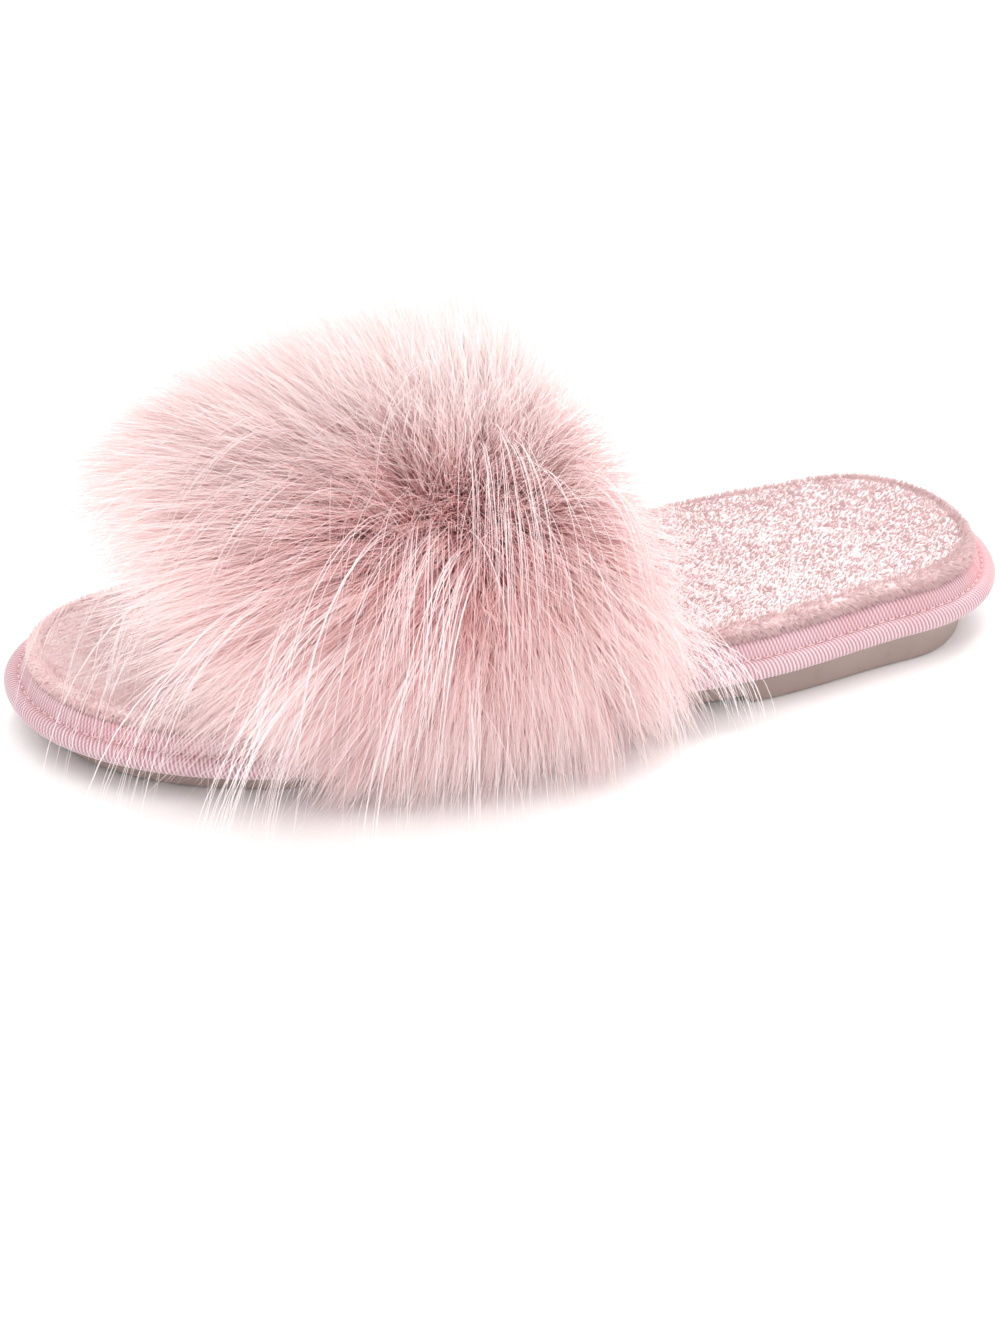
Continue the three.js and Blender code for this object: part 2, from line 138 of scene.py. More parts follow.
def mix(a, b, share):
    return a + (b - a) * share


def ease(value, low, high):
    share = np.clip((value - low) / (high - low), 0, 1)
    return share * share * (3 - 2 * share)


def through(rows, column):
    """A smooth curve through one column of a table, level at both ends."""
    places = np.array(rows["along"], float)
    values = np.array(rows[column], float)
    slopes = np.zeros(len(places))
    slopes[1:-1] = (values[2:] - values[:-2]) / (places[2:] - places[:-2])

    def curve(along):
        along = np.asarray(along, float)
        i = np.clip(np.searchsorted(places, along) - 1, 0, len(places) - 2)
        span = places[i + 1] - places[i]
        t = np.clip((along - places[i]) / span, 0, 1)
        rise = t * t * (3 - 2 * t)
        bend = slopes[i] * t * (1 - t) ** 2 - slopes[i + 1] * t * t * (1 - t)
        return mix(values[i], values[i + 1], rise) + span * bend

    return curve


outer_edge = through(OUTLINE_ROWS, "outer")
inner_edge = through(OUTLINE_ROWS, "inner")
top_share = through(FUR_ROWS, "top")
side_share = through(FUR_ROWS, "side")


def along_of(x):
    return (x + HEEL_CENTRE) / FOOTBED_LENGTH


def round_end(depth, power):
    return (1 - np.clip(depth, 0, 1) ** power) ** (1 / power)


def footbed_at(along):
    """The footbed's middle line and half width."""
    outer = outer_edge(along)
    inner = inner_edge(along)
    ends = round_end((HEEL_END[0] - along) / HEEL_END[0], HEEL_END[1])
    ends = ends * round_end((along - 1 + TOE_END[0]) / TOE_END[0], TOE_END[1])
    return (outer - inner) / 2, (outer + inner) / 2 * ends


def spring_at(x):
    share = np.clip((along_of(x) - SPRING_FROM) / (1 - SPRING_FROM), 0, 1)
    return TOE_SPRING * share * share


def base_at(x):
    """The underside of the footbed, which is the top of the outsole."""
    slope = ease(along_of(x), SLOPE_FROM, SLOPE_TO)
    return mix(HEEL_SOLE, FORE_SOLE, slope) + spring_at(x)


class Outline:
    """The footbed's edge as a closed ring of evenly spaced plan points, counter-clockwise."""

    def __init__(self, count):
        fine = 3000
        step = np.abs((np.arange(2 * fine) + fine) % (2 * fine) - fine)
        along = (1 - np.cos(np.pi * step / fine)) / 2
        side = np.where(np.arange(2 * fine) <= fine, -1, 1)
        middle, half = footbed_at(along)
        plan = np.c_[along * FOOTBED_LENGTH - HEEL_CENTRE, middle + side * half]
        closed = np.r_[plan, plan[:1]]
        arc = np.r_[0, np.cumsum(np.linalg.norm(np.diff(closed, axis=0), axis=1))]
        self.length = arc[-1]
        self.arc = np.arange(count) * self.length / count
        self.plan = np.c_[[np.interp(self.arc, arc, closed[:, k]) for k in (0, 1)]].T
        run = np.roll(self.plan, -1, 0) - np.roll(self.plan, 1, 0)
        run /= np.linalg.norm(run, axis=1)[:, None]
        self.inward = np.c_[-run[:, 1], run[:, 0]]
        self.count = count

    def ring(self, inset, height):
        """Points at an inset, which may be a number or a function of x, and a height over the base."""
        inset = inset(self.plan[:, 0]) if callable(inset) else inset
        flat = self.plan + self.inward * np.broadcast_to(inset, (self.count,))[:, None]
        lift = height(flat[:, 0]) if callable(height) else base_at(flat[:, 0]) + height
        return np.c_[flat, np.broadcast_to(lift, (self.count,))]


# The ribbon's outer and inner faces, as (inset, height over the outsole's top) pairs. The roll
# bulges round the board's edge, the stitches sink a groove, and the flange climbs to the plush.
ROLL_CENTRE = (2.5, 2.9)
ROLL_ROUND = (2.5, 2.6)
GROOVE = (3.75, 4.95)
FLANGE = [(4.15, 5.5), (4.8, 6.7), (5.5, 7.8), (6.2, 8.6), (7.0, 9.0), (8.0, 9.1), (9.4, 9.1)]
RIBBON_INSIDE = [
    (9.4, 8.25), (7.2, 8.2), (5.0, 6.0), (3.9, 4.6), (2.5, 4.6), (1.1, 2.9), (2.5, 1.2), (9.0, 1.2),
]
# The board's own section, inside the ribbon and under the plush
BOARD_FACE = [
    (10.2, 0.3), (9.6, 0.3), (9.6, 1.5), (2.6, 1.5), (1.6, 2.0), (1.3, 2.9), (1.6, 3.8), (2.6, 4.3),
    (4.0, 4.3), (4.6, 4.7), (5.4, 6.0), (6.4, 7.3), (7.2, 7.85), (9.4, 7.9),
]
ROLL_TURN = (-90, 112)
ROLL_STEPS = 10
RIBBON_CURL = 6.0


def ribbon_outside():
    turn = np.radians(np.linspace(*ROLL_TURN, ROLL_STEPS))
    roll = [
        (ROLL_CENTRE[0] - ROLL_ROUND[0] * math.cos(a), ROLL_CENTRE[1] + ROLL_ROUND[1] * math.sin(a))
        for a in turn
    ]
    return [(RIBBON_UNDER, SEAT), (RIBBON_CURL, SEAT)] + roll + [GROOVE] + FLANGE


def flange_height(inset):
    places = [GROOVE] + FLANGE
    return np.interp(inset, [place[0] for place in places], [place[1] for place in places])


FLANGE_TOP = 2 * SEAT + RIBBON_THICKNESS + BOARD_THICKNESS + FLANGE_RISE
STRAP_FOOT = 3 * SEAT + 2 * RIBBON_THICKNESS + BOARD_THICKNESS
PLUSH_BOTTOM = FLANGE_TOP + SEAT
PLUSH_SHOULDER = PLUSH_BOTTOM + PLUSH_EDGE


# Meshes

def build(name, points, quads=None, tris=None, material=None, layers=None):
    """A mesh object from arrays: points in millimetres, faces as rows of indices."""
    quads = np.zeros((0, 4), int) if quads is None else np.asarray(quads)
    tris = np.zeros((0, 3), int) if tris is None else np.asarray(tris)
    mesh = bpy.data.meshes.new(name)
    mesh.vertices.add(len(points))
    mesh.vertices.foreach_set("co", (np.asarray(points, float) * MM).ravel())
    loops = np.r_[quads.ravel(), tris.ravel()].astype(np.int32)
    mesh.loops.add(len(loops))
    mesh.loops.foreach_set("vertex_index", loops)
    starts = np.r_[np.arange(len(quads)) * 4, len(quads) * 4 + np.arange(len(tris)) * 3]
    mesh.polygons.add(len(starts))
    mesh.polygons.foreach_set("loop_start", starts.astype(np.int32))
    mesh.polygons.foreach_set("use_smooth", np.ones(len(starts), bool))
    mesh.update(calc_edges=True)
    for layer, values in (layers or {}).items():
        attribute = mesh.attributes.new(layer, "FLOAT", "POINT")
        attribute.data.foreach_set("value", np.asarray(values, np.float32))
    thing = bpy.data.objects.new(name, mesh)
    bpy.context.scene.collection.objects.link(thing)
    if material:
        mesh.materials.append(material)
    return thing


def band_quads(count, rings, closed=False):
    """Quads that join each ring of points to the next, the faces outwards."""
    i = np.arange(count)
    j = (i + 1) % count
    rows = []
    for r in range(rings if closed else rings - 1):
        low = r * count
        high = (r + 1) % rings * count
        rows.append(np.c_[low + i, low + j, high + j, high + i])
    return np.concatenate(rows)


def build_rings(name, rings, material, closed=False, tris=None, layers=None):
    """A mesh object from rings of points, each joined to the next."""
    quads = band_quads(len(rings[0]), len(rings), closed)
    return build(name, np.concatenate(rings), quads, tris, material, layers)


def place(thing, material_slot, *nodes):
    """Attaches a piece to its body and hides the nodes that it stands for. Its material's slot is not
    used.
    """
    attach(thing, BODY)
    if nodes:
        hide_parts(*nodes)
    return thing


# Materials

class Nodes:
    """A short way to write a material's nodes."""

    def __init__(self, name):
        self.material = bpy.data.materials.new(name)
        self.material.use_nodes = True
        self.tree = self.material.node_tree
        self.tree.nodes.clear()
        self.output = self.tree.nodes.new("ShaderNodeOutputMaterial")

    def add(self, kind, values=None, **settings):
        node = self.tree.nodes.new(kind)
        for key, value in settings.items():
            setattr(node, key, value)
        for key, value in (values or {}).items():
            if isinstance(value, bpy.types.NodeSocket):
                self.tree.links.new(value, node.inputs[key])
            else:
                node.inputs[key].default_value = value
        return node

    def layer(self, name):
        return self.add("ShaderNodeAttribute", attribute_name=name).outputs["Fac"]

    def noise(self, scale, detail=3, roughness=0.5):
        where = self.add("ShaderNodeTexCoord").outputs["Object"]
        values = {"Vector": where, "Scale": scale, "Detail": detail, "Roughness": roughness}
        return self.add("ShaderNodeTexNoise", values).outputs["Fac"]

    def ramp(self, fac, stops):
        node = self.add("ShaderNodeValToRGB", {"Fac": fac})
        ends = node.color_ramp.elements
        while len(ends) < len(stops):
            ends.new(0.5)
        for end, (where, colour) in zip(ends, stops):
            end.position = where
            end.color = colour_of(colour)
        return node.outputs["Color"]

    def blend(self, fac, a, b, mode="MIX"):
        values = {0: fac, 6: a, 7: b}
        node = self.add("ShaderNodeMix", values, data_type="RGBA", blend_type=mode)
        return node.outputs[2]

    def bump(self, height, strength, distance):
        values = {"Height": height, "Strength": strength, "Distance": distance}
        return self.add("ShaderNodeBump", values).outputs["Normal"]

    def principled(self, values):
        return self.add("ShaderNodeBsdfPrincipled", values).outputs["BSDF"]

    def done(self, shader):
        self.tree.links.new(shader, self.output.inputs["Surface"])
        return self.material


def colour_of(rgb):
    """A colour given as screen values from 0 to 255, as linear light."""
    share = np.array(rgb) / 255
    linear = np.where(share <= 0.04045, share / 12.92, ((share + 0.055) / 1.055) ** 2.4)
    return (*linear.tolist(), 1.0)


def hair_material(name, stops, tint_and_light_colour, translucency, painted_parting_shade=None):
    """Hair: darker and pinker at its roots, as painted shade deep among the hairs; a tint for each
    hair, partly its own colour and partly painted light; and painted pink shade on a parting when
    given one.
    """
    n = Nodes(name)
    # Root to tip: the darker, pinker roots are painted shade deep among the hairs
    body = n.ramp(n.layer("reach"), stops)
    tinted = n.blend(n.layer("tint"), body, colour_of(tint_and_light_colour))
    # Painted pink shade over the parting, where one looks down among the roots
    if painted_parting_shade:
        tinted = n.blend(n.layer("painted_parting_shade"), tinted, colour_of(painted_parting_shade))
    matt = n.principled({"Base Color": tinted, "Roughness": 0.7, "Specular IOR Level": 0.12})
    through_light = n.add("ShaderNodeBsdfTranslucent", {"Color": tinted}).outputs["BSDF"]
    both = n.add("ShaderNodeMixShader", {"Fac": translucency})
    n.tree.links.new(matt, both.inputs[1])
    n.tree.links.new(through_light, both.inputs[2])
    return n.done(both.outputs["Shader"])


def ribbon_material():
    n = Nodes("ribbed_ribbon")
    rib = n.layer("rib")
    # Painted shade in the rib grooves and along the stitch groove, and painted light on the rib
    # crests: rib is 0 in a groove and 1 on a crest
    painted_rib_shade = n.ramp(rib, [(0.0, (146, 106, 118)), (0.4, (184, 147, 155)), (1.0, (234, 221, 225))])
    patch = n.ramp(n.noise(45, 2), [(0.35, (255, 255, 255)), (0.75, (246, 226, 226))])
    worn = n.blend(0.6, painted_rib_shade, patch, "MULTIPLY")
    # Pinker at the heel, the toe and under the plush: partly the ribbon's own pink, partly painted
    # pink shade
    with_blush_and_painted_shade = n.blend(n.layer("blush_and_painted_shade"), worn, colour_of((228, 152, 154)))
    weave = n.bump(n.noise(2600, 2), 0.25, 0.0002)
    return n.done(n.principled({
        "Base Color": with_blush_and_painted_shade, "Roughness": 0.5, "Specular IOR Level": 0.35,
        "Sheen Weight": 0.25, "Sheen Roughness": 0.4, "Normal": weave,
    }))


def thread_material():
    n = Nodes("stitch_thread")
    shade = n.ramp(n.noise(400, 2), [(0.3, (216, 172, 171)), (0.7, (232, 196, 194))])
    twist = n.bump(n.noise(3000, 2), 0.4, 0.0002)
    return n.done(n.principled({"Base Color": shade, "Roughness": 0.6, "Normal": twist}))


def rubber_material():
    n = Nodes("sole_rubber")
    shade = n.ramp(n.noise(30, 4), [(0.3, (140, 121, 115)), (0.7, (158, 139, 133))])
    scuffs = n.ramp(n.noise(160, 6, 0.7), [(0.55, (255, 255, 255)), (0.75, (226, 218, 214))])
    worn = n.blend(0.5, shade, scuffs, "MULTIPLY")
    grain = n.bump(n.noise(1500, 3), 0.2, 0.0002)
    return n.done(n.principled({
        "Base Color": worn, "Roughness": 0.36, "Specular IOR Level": 0.5, "Normal": grain,
    }))


def foam_material():
    n = Nodes("footbed_foam")
    shade = n.ramp(n.noise(60, 3), [(0.3, (226, 190, 190)), (0.7, (236, 206, 205))])
    cells = n.bump(n.noise(1800, 2), 0.4, 0.0003)
    return n.done(n.principled({"Base Color": shade, "Roughness": 0.85, "Normal": cells}))


def cloth_material():
    """The strap's backing and lining: a fine knit."""
    n = Nodes("strap_cloth")
    where = n.add("ShaderNodeTexCoord").outputs["Object"]
    wave = n.add("ShaderNodeTexWave", {"Vector": where, "Scale": 420, "Distortion": 1.2})
    shade = n.ramp(n.noise(50, 3), [(0.3, (232, 172, 173)), (0.7, (238, 184, 184))])
    knit = n.bump(wave.outputs["Fac"], 0.35, 0.0003)
    return n.done(n.principled({
        "Base Color": shade, "Roughness": 0.8, "Sheen Weight": 0.3, "Normal": knit,
    }))


def plush_skin_material():
    n = Nodes("plush_skin")
    shade = n.ramp(n.noise(55, 4, 0.6), [(0.35, (223, 201, 201)), (0.7, (227, 206, 206))])
    nap = n.bump(n.noise(700, 4), 0.6, 0.0008)
    return n.done(n.principled({
        "Base Color": shade, "Roughness": 0.9, "Sheen Weight": 0.1, "Normal": nap,
    }))


# Outsole

def sole_inset(x):
    side = mix(SOLE_INSET_HEEL, SOLE_INSET_TOE, ease(along_of(x), 0, 1))
    return side + SOLE_HEEL_TUCK * (1 - ease(along_of(x), 0, SOLE_TUCK_END))


def recess_at(x):
    """How far the shank's underside lies above the pads."""
    rise = (x - SHANK_START) / SHANK_SLOPE
    fall = (SHANK_START + SHANK_LENGTH - x) / SHANK_SLOPE
    return SHANK_RECESS * np.clip(np.minimum(rise, fall), 0, 1)


CLOSING_RINGS = 2
SPINE_HEEL_GAP = 12
SPINE_TOE_GAP = 16


def fill_rings(edge, rings, lift):
    """Rows of points that close an outline ring towards its middle line."""
    x = edge[:, 0]
    along = np.clip(along_of(x), 0, 1)
    middle = footbed_at(along)[0]
    spine_x = np.clip(x, x.min() + SPINE_HEEL_GAP, x.max() - SPINE_TOE_GAP)
    spine = np.c_[spine_x, middle, edge[:, 2]]
    rows = []
    for k in range(1, rings + 1):
        share = k / rings
        row = mix(edge, spine, share)
        row[:, 2] = edge[:, 2] if lift is None else lift(row, share, edge)
        rows.append(row)
    return rows


SOLE_POINTS = 480
SOLE_RINGS = 24
SOLE_EDGE_STEPS = 5
SOLE_WALL_STEPS = 7
SOLE_WALL_BOW = 0.35
TREAD_PITCH = 4.2
TREAD_DEPTH = 0.55
TREAD_SHARPNESS = 3
TREAD_LEVEL = 1.6
TREAD_EDGE = (0.12, 0.2)


def make_outsole():
    """The moulded rubber sole: an upright wall with a rounded bottom edge, and its tread."""
    outline = Outline(SOLE_POINTS)
    rows = []

    def bottom(x):
        return spring_at(x) + recess_at(x)

    def tread(row, share, edge):
        """Fine cross grooves on the two pads."""
        x = row[:, 0]
        wave = np.cos(2 * np.pi * x / TREAD_PITCH)
        groove = np.clip(wave * TREAD_SHARPNESS - TREAD_LEVEL, 0, 1)
        edge_fade = ease(share, *TREAD_EDGE)
        flat = (recess_at(x) < 0.01).astype(float)
        return bottom(x) + TREAD_DEPTH * groove * edge_fade * flat

    for k in range(SOLE_EDGE_STEPS + 1):
        turn = math.radians(90 * k / SOLE_EDGE_STEPS)
        inset = SOLE_DRAFT + SOLE_EDGE_ROUND * (1 - math.sin(turn))
        height = SOLE_EDGE_ROUND * (1 - math.cos(turn))
        rows.append(
            outline.ring(lambda x, i=inset: sole_inset(x) + i, lambda x, h=height: bottom(x) + h)
        )
    for k in range(1, SOLE_WALL_STEPS + 1):
        share = k / SOLE_WALL_STEPS

        def wall_height(x, share=share):
            low = bottom(x) + SOLE_EDGE_ROUND
            return mix(low, base_at(x), share)

        bow = SOLE_WALL_BOW * math.sin(math.pi * share)
        inset = SOLE_DRAFT * (1 - share) + bow
        rows.append(outline.ring(lambda x, i=inset: sole_inset(x) + i, wall_height))
    under = fill_rings(rows[0], SOLE_RINGS, tread)
    top = fill_rings(rows[-1], CLOSING_RINGS + 1, None)
    thing = build_rings("outsole_rubber", under[::-1] + rows + top, rubber_material())
    return place(thing, "sole_rubber", "outsole")


# Ribbon

RIB_PITCH = 1.05
RIB_HEIGHT = 0.2
RIB_SLANT = 0.22
RIB_POINTS = 4
GROOVE_RIBBING = 0.4
PUCKER_HEIGHT = 0.16
BLUSH_PUCKER = 0.3
PUCKER_SIZES = (8, 4)
# Where the ribbon is pinker, at the heel and the toe, partly its own pink where it overlaps and partly
# painted pink shade from the plush above: the reach of x and of y, and how much
HEEL_BLUSH_AND_SHADE = ((18, 34), (-30, 5), 0.5)
TOE_BLUSH_AND_SHADE = ((196, 212), (8, 24), 0.3)
# Where the ribbon turns over the board: the heights and the insets between which it does
OVER_HEIGHTS = (4.4, 6)
OVER_INSETS = (6.4, 7.4)
# How that pink grows towards the top, and the pink over the turn under the plush's rim: partly the
# ribbon's own pink, partly painted pink shade
BLUSH_AND_SHADE_HEIGHTS = (2.5, 5.5)
ROLL_BLUSH_AND_SHADE = 0.1
BOARD_POINTS = 240
LENGTH_POINTS = 64


def make_board():
    """The board inside the ribbon, under the plush."""
    outline = Outline(BOARD_POINTS)
    rows = [outline.ring(inset, height) for inset, height in BOARD_FACE]
    under = fill_rings(rows[0], CLOSING_RINGS, None)
    top = fill_rings(rows[-1], CLOSING_RINGS, None)
    thing = build_rings("footbed_board", under[::-1] + rows + top, foam_material())
    return place(thing, "footbed_foam", "footbed")


def make_ribbon():
    """The ribbon: one strip round the edge, with a rib each millimetre or so."""
    ribs = int(round(Outline(LENGTH_POINTS).length / RIB_PITCH))
    outline = Outline(ribs * RIB_POINTS)
    outside = ribbon_outside()
    section = np.array(outside)
    path = np.r_[0, np.cumsum(np.linalg.norm(np.diff(section, axis=0), axis=1))]
    tangent = np.gradient(section, axis=0)
    tangent /= np.linalg.norm(tangent, axis=1)[:, None]
    out = np.c_[-tangent[:, 1], tangent[:, 0]]
    rows = []
    ribbing = []
    blush_and_painted_shade = []
    x, y = outline.plan.T
    heel_blush_and_shade = ease(-x, *HEEL_BLUSH_AND_SHADE[0]) * ease(y, *HEEL_BLUSH_AND_SHADE[1])
    toe_blush_and_shade = ease(x, *TOE_BLUSH_AND_SHADE[0]) * ease(y, *TOE_BLUSH_AND_SHADE[1])
    level = outline.arc * 0
    pucker = PUCKER_HEIGHT * fine_noise(outline.arc, level, PUCKER_SIZES[0], 21)
    small = fine_noise(outline.arc, level, PUCKER_SIZES[1], 22)
    pucker += BLUSH_PUCKER * (heel_blush_and_shade + toe_blush_and_shade) * small
    most = HEEL_BLUSH_AND_SHADE[2] * heel_blush_and_shade + TOE_BLUSH_AND_SHADE[2] * toe_blush_and_shade
    for (inset, height), along_path, (out_inset, out_height) in zip(outside, path, out):
        phase = 2 * np.pi * (outline.arc + RIB_SLANT * along_path) / (outline.length / ribs)
        wave = 0.5 + 0.5 * np.cos(phase)
        fade = GROOVE_RIBBING if (inset, height) == GROOVE else 1.0
        over = ease(height, *OVER_HEIGHTS) * (1 - ease(inset, *OVER_INSETS))
        swell = RIB_HEIGHT * (wave - 1) * fade + pucker * over
        ring = outline.ring(inset, height)
        ring[:, :2] += outline.inward * (out_inset * swell)[:, None]
        ring[:, 2] += out_height * swell
        rows.append(ring)
        # The rib layer, which the material turns into painted shade in the grooves and painted light
        # on the crests
        ribbing.append(wave * fade)
        # Pinker towards the top and over the turn: partly the ribbon's own pink, partly painted pink
        # shade from the plush
        blush_and_painted_shade.append(most * ease(height, *BLUSH_AND_SHADE_HEIGHTS) + ROLL_BLUSH_AND_SHADE * over)
    for inset, height in RIBBON_INSIDE:
        rows.append(outline.ring(inset, height))
        ribbing.append(np.zeros(outline.count))
        blush_and_painted_shade.append(np.zeros(outline.count))
    layers = {"rib": np.concatenate(ribbing), "blush_and_painted_shade": np.concatenate(blush_and_painted_shade)}
    thing = build_rings("ribbon_binding", rows, ribbon_material(), closed=True, layers=layers)
    return place(thing, "ribbon", "edge_ribbon")


STITCH_PITCH = 3.1
STITCH_POINTS = 6
STITCH_SIDES = 6
STITCH_LIFT = 0.1
STITCH_ARCH = 0.2
STITCH_RADIUS = 0.29


def make_stitches():
    """Short stitches along the groove of the ribbon."""
    spots = STITCH_POINTS + 2
    outline = Outline(int(Outline(LENGTH_POINTS).length / STITCH_PITCH) * spots)
    groove = outline.ring(GROOVE[0], GROOVE[1] + STITCH_LIFT)
    points = []
    quads = []
    for start in range(0, outline.count, spots):
        base = len(points)
        for k in range(STITCH_POINTS):
            spot = start + k
            centre = groove[spot]
            across = outline.inward[spot]
            radius = STITCH_RADIUS * math.sin(math.pi * (k + 0.5) / STITCH_POINTS) ** 0.5
            dip = STITCH_ARCH * math.cos(math.pi * (k / (STITCH_POINTS - 1) - 0.5))
            for side in range(STITCH_SIDES):
                turn = 2 * math.pi * side / STITCH_SIDES
                reach = radius * math.cos(turn)
                lift = radius * math.sin(turn) + dip
                flat = centre[:2] + across * reach
                points.append((flat[0], flat[1], centre[2] + lift))
        for k in range(STITCH_POINTS - 1):
            for side in range(STITCH_SIDES):
                a = base + k * STITCH_SIDES + side
                b = base + k * STITCH_SIDES + (side + 1) % STITCH_SIDES
                quads.append((a, a + STITCH_SIDES, b + STITCH_SIDES, b))
        for end, way in ((base, 1), (base + (STITCH_POINTS - 1) * STITCH_SIDES, -1)):
            for first in (1, 3):
                corners = [end, end + first, end + first + 1, end + (first + 2) % STITCH_SIDES]
                quads.append(corners[::way])
    thing = build("ribbon_stitches", points, quads, material=thread_material())
    return place(thing, "ribbon")


# Plush insole

NOISE_WAVES = 9
NOISE_LEVEL = 4


def fine_noise(x, y, scale, seed):
    """Smooth noise from a few crossed waves, between about -1 and 1."""
    waves = np.random.default_rng(seed)
    total = np.zeros_like(x)
    for _ in range(NOISE_WAVES):
        turn = waves.uniform(0, 2 * np.pi)
        size = scale * waves.uniform(0.6, 1.6)
        shift = waves.uniform(0, 2 * np.pi)
        total = total + np.sin((x * math.cos(turn) + y * math.sin(turn)) * 2 * np.pi / size + shift)
    return total / NOISE_LEVEL


PLUSH_FOOT = RIBBON_OVER + SEAT
PLUSH_OVER = FLANGE_TOP + 2 * SEAT + RIBBON_THICKNESS
PLUSH_POINTS = 420
PLUSH_RINGS = 22
# The plush's unevenness: the height, size and seed of each noise
PLUSH_SWELLS = ((0.16, 16, 5), (0.08, 6, 6))
PLUSH_EDGE_FADE = 0.1
PLUSH_HEEL_FADE = 0.12
PLUSH_TOE_FADE = 0.86
RIM_TURN = (-70, 90)
RIM_STEPS = 8
RIM_RADIUS = 2.3
RIM_RISE = 0.2
RIM_SINE = 0.94


def plush_rows(outline):
    """The plush's side: its foot on the board, then its rounded edge over the ribbon."""
    section = [(PLUSH_FOOT + 1, PLUSH_BOTTOM), (PLUSH_FOOT, PLUSH_BOTTOM), (PLUSH_FOOT, PLUSH_OVER)]
    for turn in np.linspace(*RIM_TURN, RIM_STEPS):
        section.append(rim_point(math.radians(turn)))
    return [outline.ring(inset, height) for inset, height in section]


def plush_height(x, y, along):
    """The height of the plush's top, crowned and a little uneven."""
    middle, half = footbed_at(along)
    across = np.clip((y - middle) / np.maximum(half - PLUSH_FOOT, 1), -1, 1)
    ends = ease(along, 0, PLUSH_HEEL_FADE) * (1 - ease(along, PLUSH_TOE_FADE, 1))
    crown = PLUSH_CROWN * ends * (1 - across**2)
    swell = sum(height * fine_noise(x, y, size, seed) for height, size, seed in PLUSH_SWELLS)
    return base_at(x) + PLUSH_SHOULDER + crown + swell * (1 - across**4)


def make_plush():
    """The cushion under the foot: crowned, with a rounded edge that swells over the ribbon."""
    outline = Outline(PLUSH_POINTS)
    rows = plush_rows(outline)

    def lift(row, share, edge):
        x, y = row[:, 0], row[:, 1]
        height = plush_height(x, y, along_of(x))
        return mix(edge[:, 2], height, ease(share, 0, PLUSH_EDGE_FADE))

    top = fill_rings(rows[-1], PLUSH_RINGS, lift)
    bottom = fill_rings(rows[0], CLOSING_RINGS, None)
    thing = build_rings("plush_cushion", bottom[::-1] + rows + top, plush_skin_material())
    return place(thing, "plush", "plush_insole")


# Hair ribbons

def hair_mesh(name, paths, widths, marks, outward, material, twist=0.2):
    """Joins hairs into one mesh. paths is (steps, hairs, 3), and each hair ends in a point.

    marks holds a named value for each hair, which its material reads, and twist is how unevenly
    the hairs are turned.
    """
    steps, hairs, _ = paths.shape
    run = np.gradient(paths, axis=0)
    run /= np.linalg.norm(run, axis=2)[:, :, None] + 1e-9
    facing = outward + random.normal(0, twist, (hairs, 3))
    across = np.cross(run, np.broadcast_to(facing, paths.shape))
    across /= np.linalg.norm(across, axis=2)[:, :, None] + 1e-9
    share = np.linspace(0, 1, steps)
    taper = np.sqrt(np.clip(1 - share**2.2, 0, 1))
    half = 0.5 * widths[None, :, None] * taper[:, None, None]
    left = paths - across * half
    right = paths + across * half
    body = np.stack([left[:-1], right[:-1]], axis=2)
    body = body.transpose(1, 0, 2, 3).reshape(hairs, -1, 3)
    points = np.concatenate([body, paths[-1][:, None, :]], axis=1)
    per_hair = points.shape[1]
    base = np.arange(hairs)[:, None] * per_hair
    k = np.arange(steps - 2)[None, :]
    low = base + 2 * k
    quads = np.stack([low, low + 1, low + 3, low + 2], axis=2).reshape(-1, 4)
    last = base[:, 0] + 2 * (steps - 2)
    tris = np.stack([last, last + 1, last + 2], axis=1)
    reach = np.r_[np.repeat(share[:-1], 2), 1.0]
    layers = {"reach": np.tile(reach, hairs)}
    for layer, values in marks.items():
        layers[layer] = np.repeat(values, per_hair)
    return build(name, points.reshape(-1, 3), quads, tris, material, layers=layers)


def inset_from(outline, flat):
    """How far each plan point lies inside the outline."""
    tree = KDTree(outline.count)
    for i, (x, y) in enumerate(outline.plan.tolist()):
        tree.insert((x, y, 0), i)
    tree.balance()
    near = np.array([tree.find((x, y, 0))[1] for x, y in flat.tolist()])
    gap = flat - outline.plan[near]
    return (gap * outline.inward[near]).sum(1)


def rim_point(turn):
    """The plush's rounded edge: its inset and height over the base, for an angle in radians."""
    inset = PLUSH_FOOT - PLUSH_OVERHANG + RIM_RADIUS * (1 - np.cos(turn))
    share = (np.sin(turn) + RIM_SINE) / (1 + RIM_SINE)
    return inset, mix(PLUSH_OVER + RIM_RISE, PLUSH_SHOULDER, share)


PILE_OUTLINE_POINTS = 900
TOP_TUFTS, RIM_TUFTS = ((48000, 22000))
# Some drawn places fall outside the outline, so more are drawn
TUFT_SPARE = 1.5
TOP_TUFT_INSET = PLUSH_FOOT - PLUSH_OVERHANG + 1.6
TOP_ROOT_DEPTH = 0.92
RIM_TUFT_TURN = (-65, 92)
RIM_TUFT_CROWDING = 1.2
RIM_ROOT_INSET = 0.4
RIM_ROOT_DEPTH = 0.3

# How the tufts lean, in radians and shares, and how long and wide they are
PILE_SWEEP = 3.5
PILE_DRIFT = 0.22
PILE_LEAN = 0.9
PILE_JITTER = 0.11
PILE_LENGTHS = (1.92, 2.24)
CLUMP_LENGTH = 0.03
PILE_WIDTHS = (0.45, 0.68)
PILE_TWIST = 0.1
PILE_BEND = 0.6
PILE_FALL = -0.4
RIM_TUFT_LEAN = 0.3
RIM_TUFT_DROP = (0, 0, -0.45)
RIM_TUFT_LENGTH = 1.15
RIM_TUFT_WIDTH = 0.5

# Noises, each as its size and seed
DRIFT_NOISE = (34, 11)
CLUMP_NOISE = (7, 12)
TINT_NOISE = (14, 13)

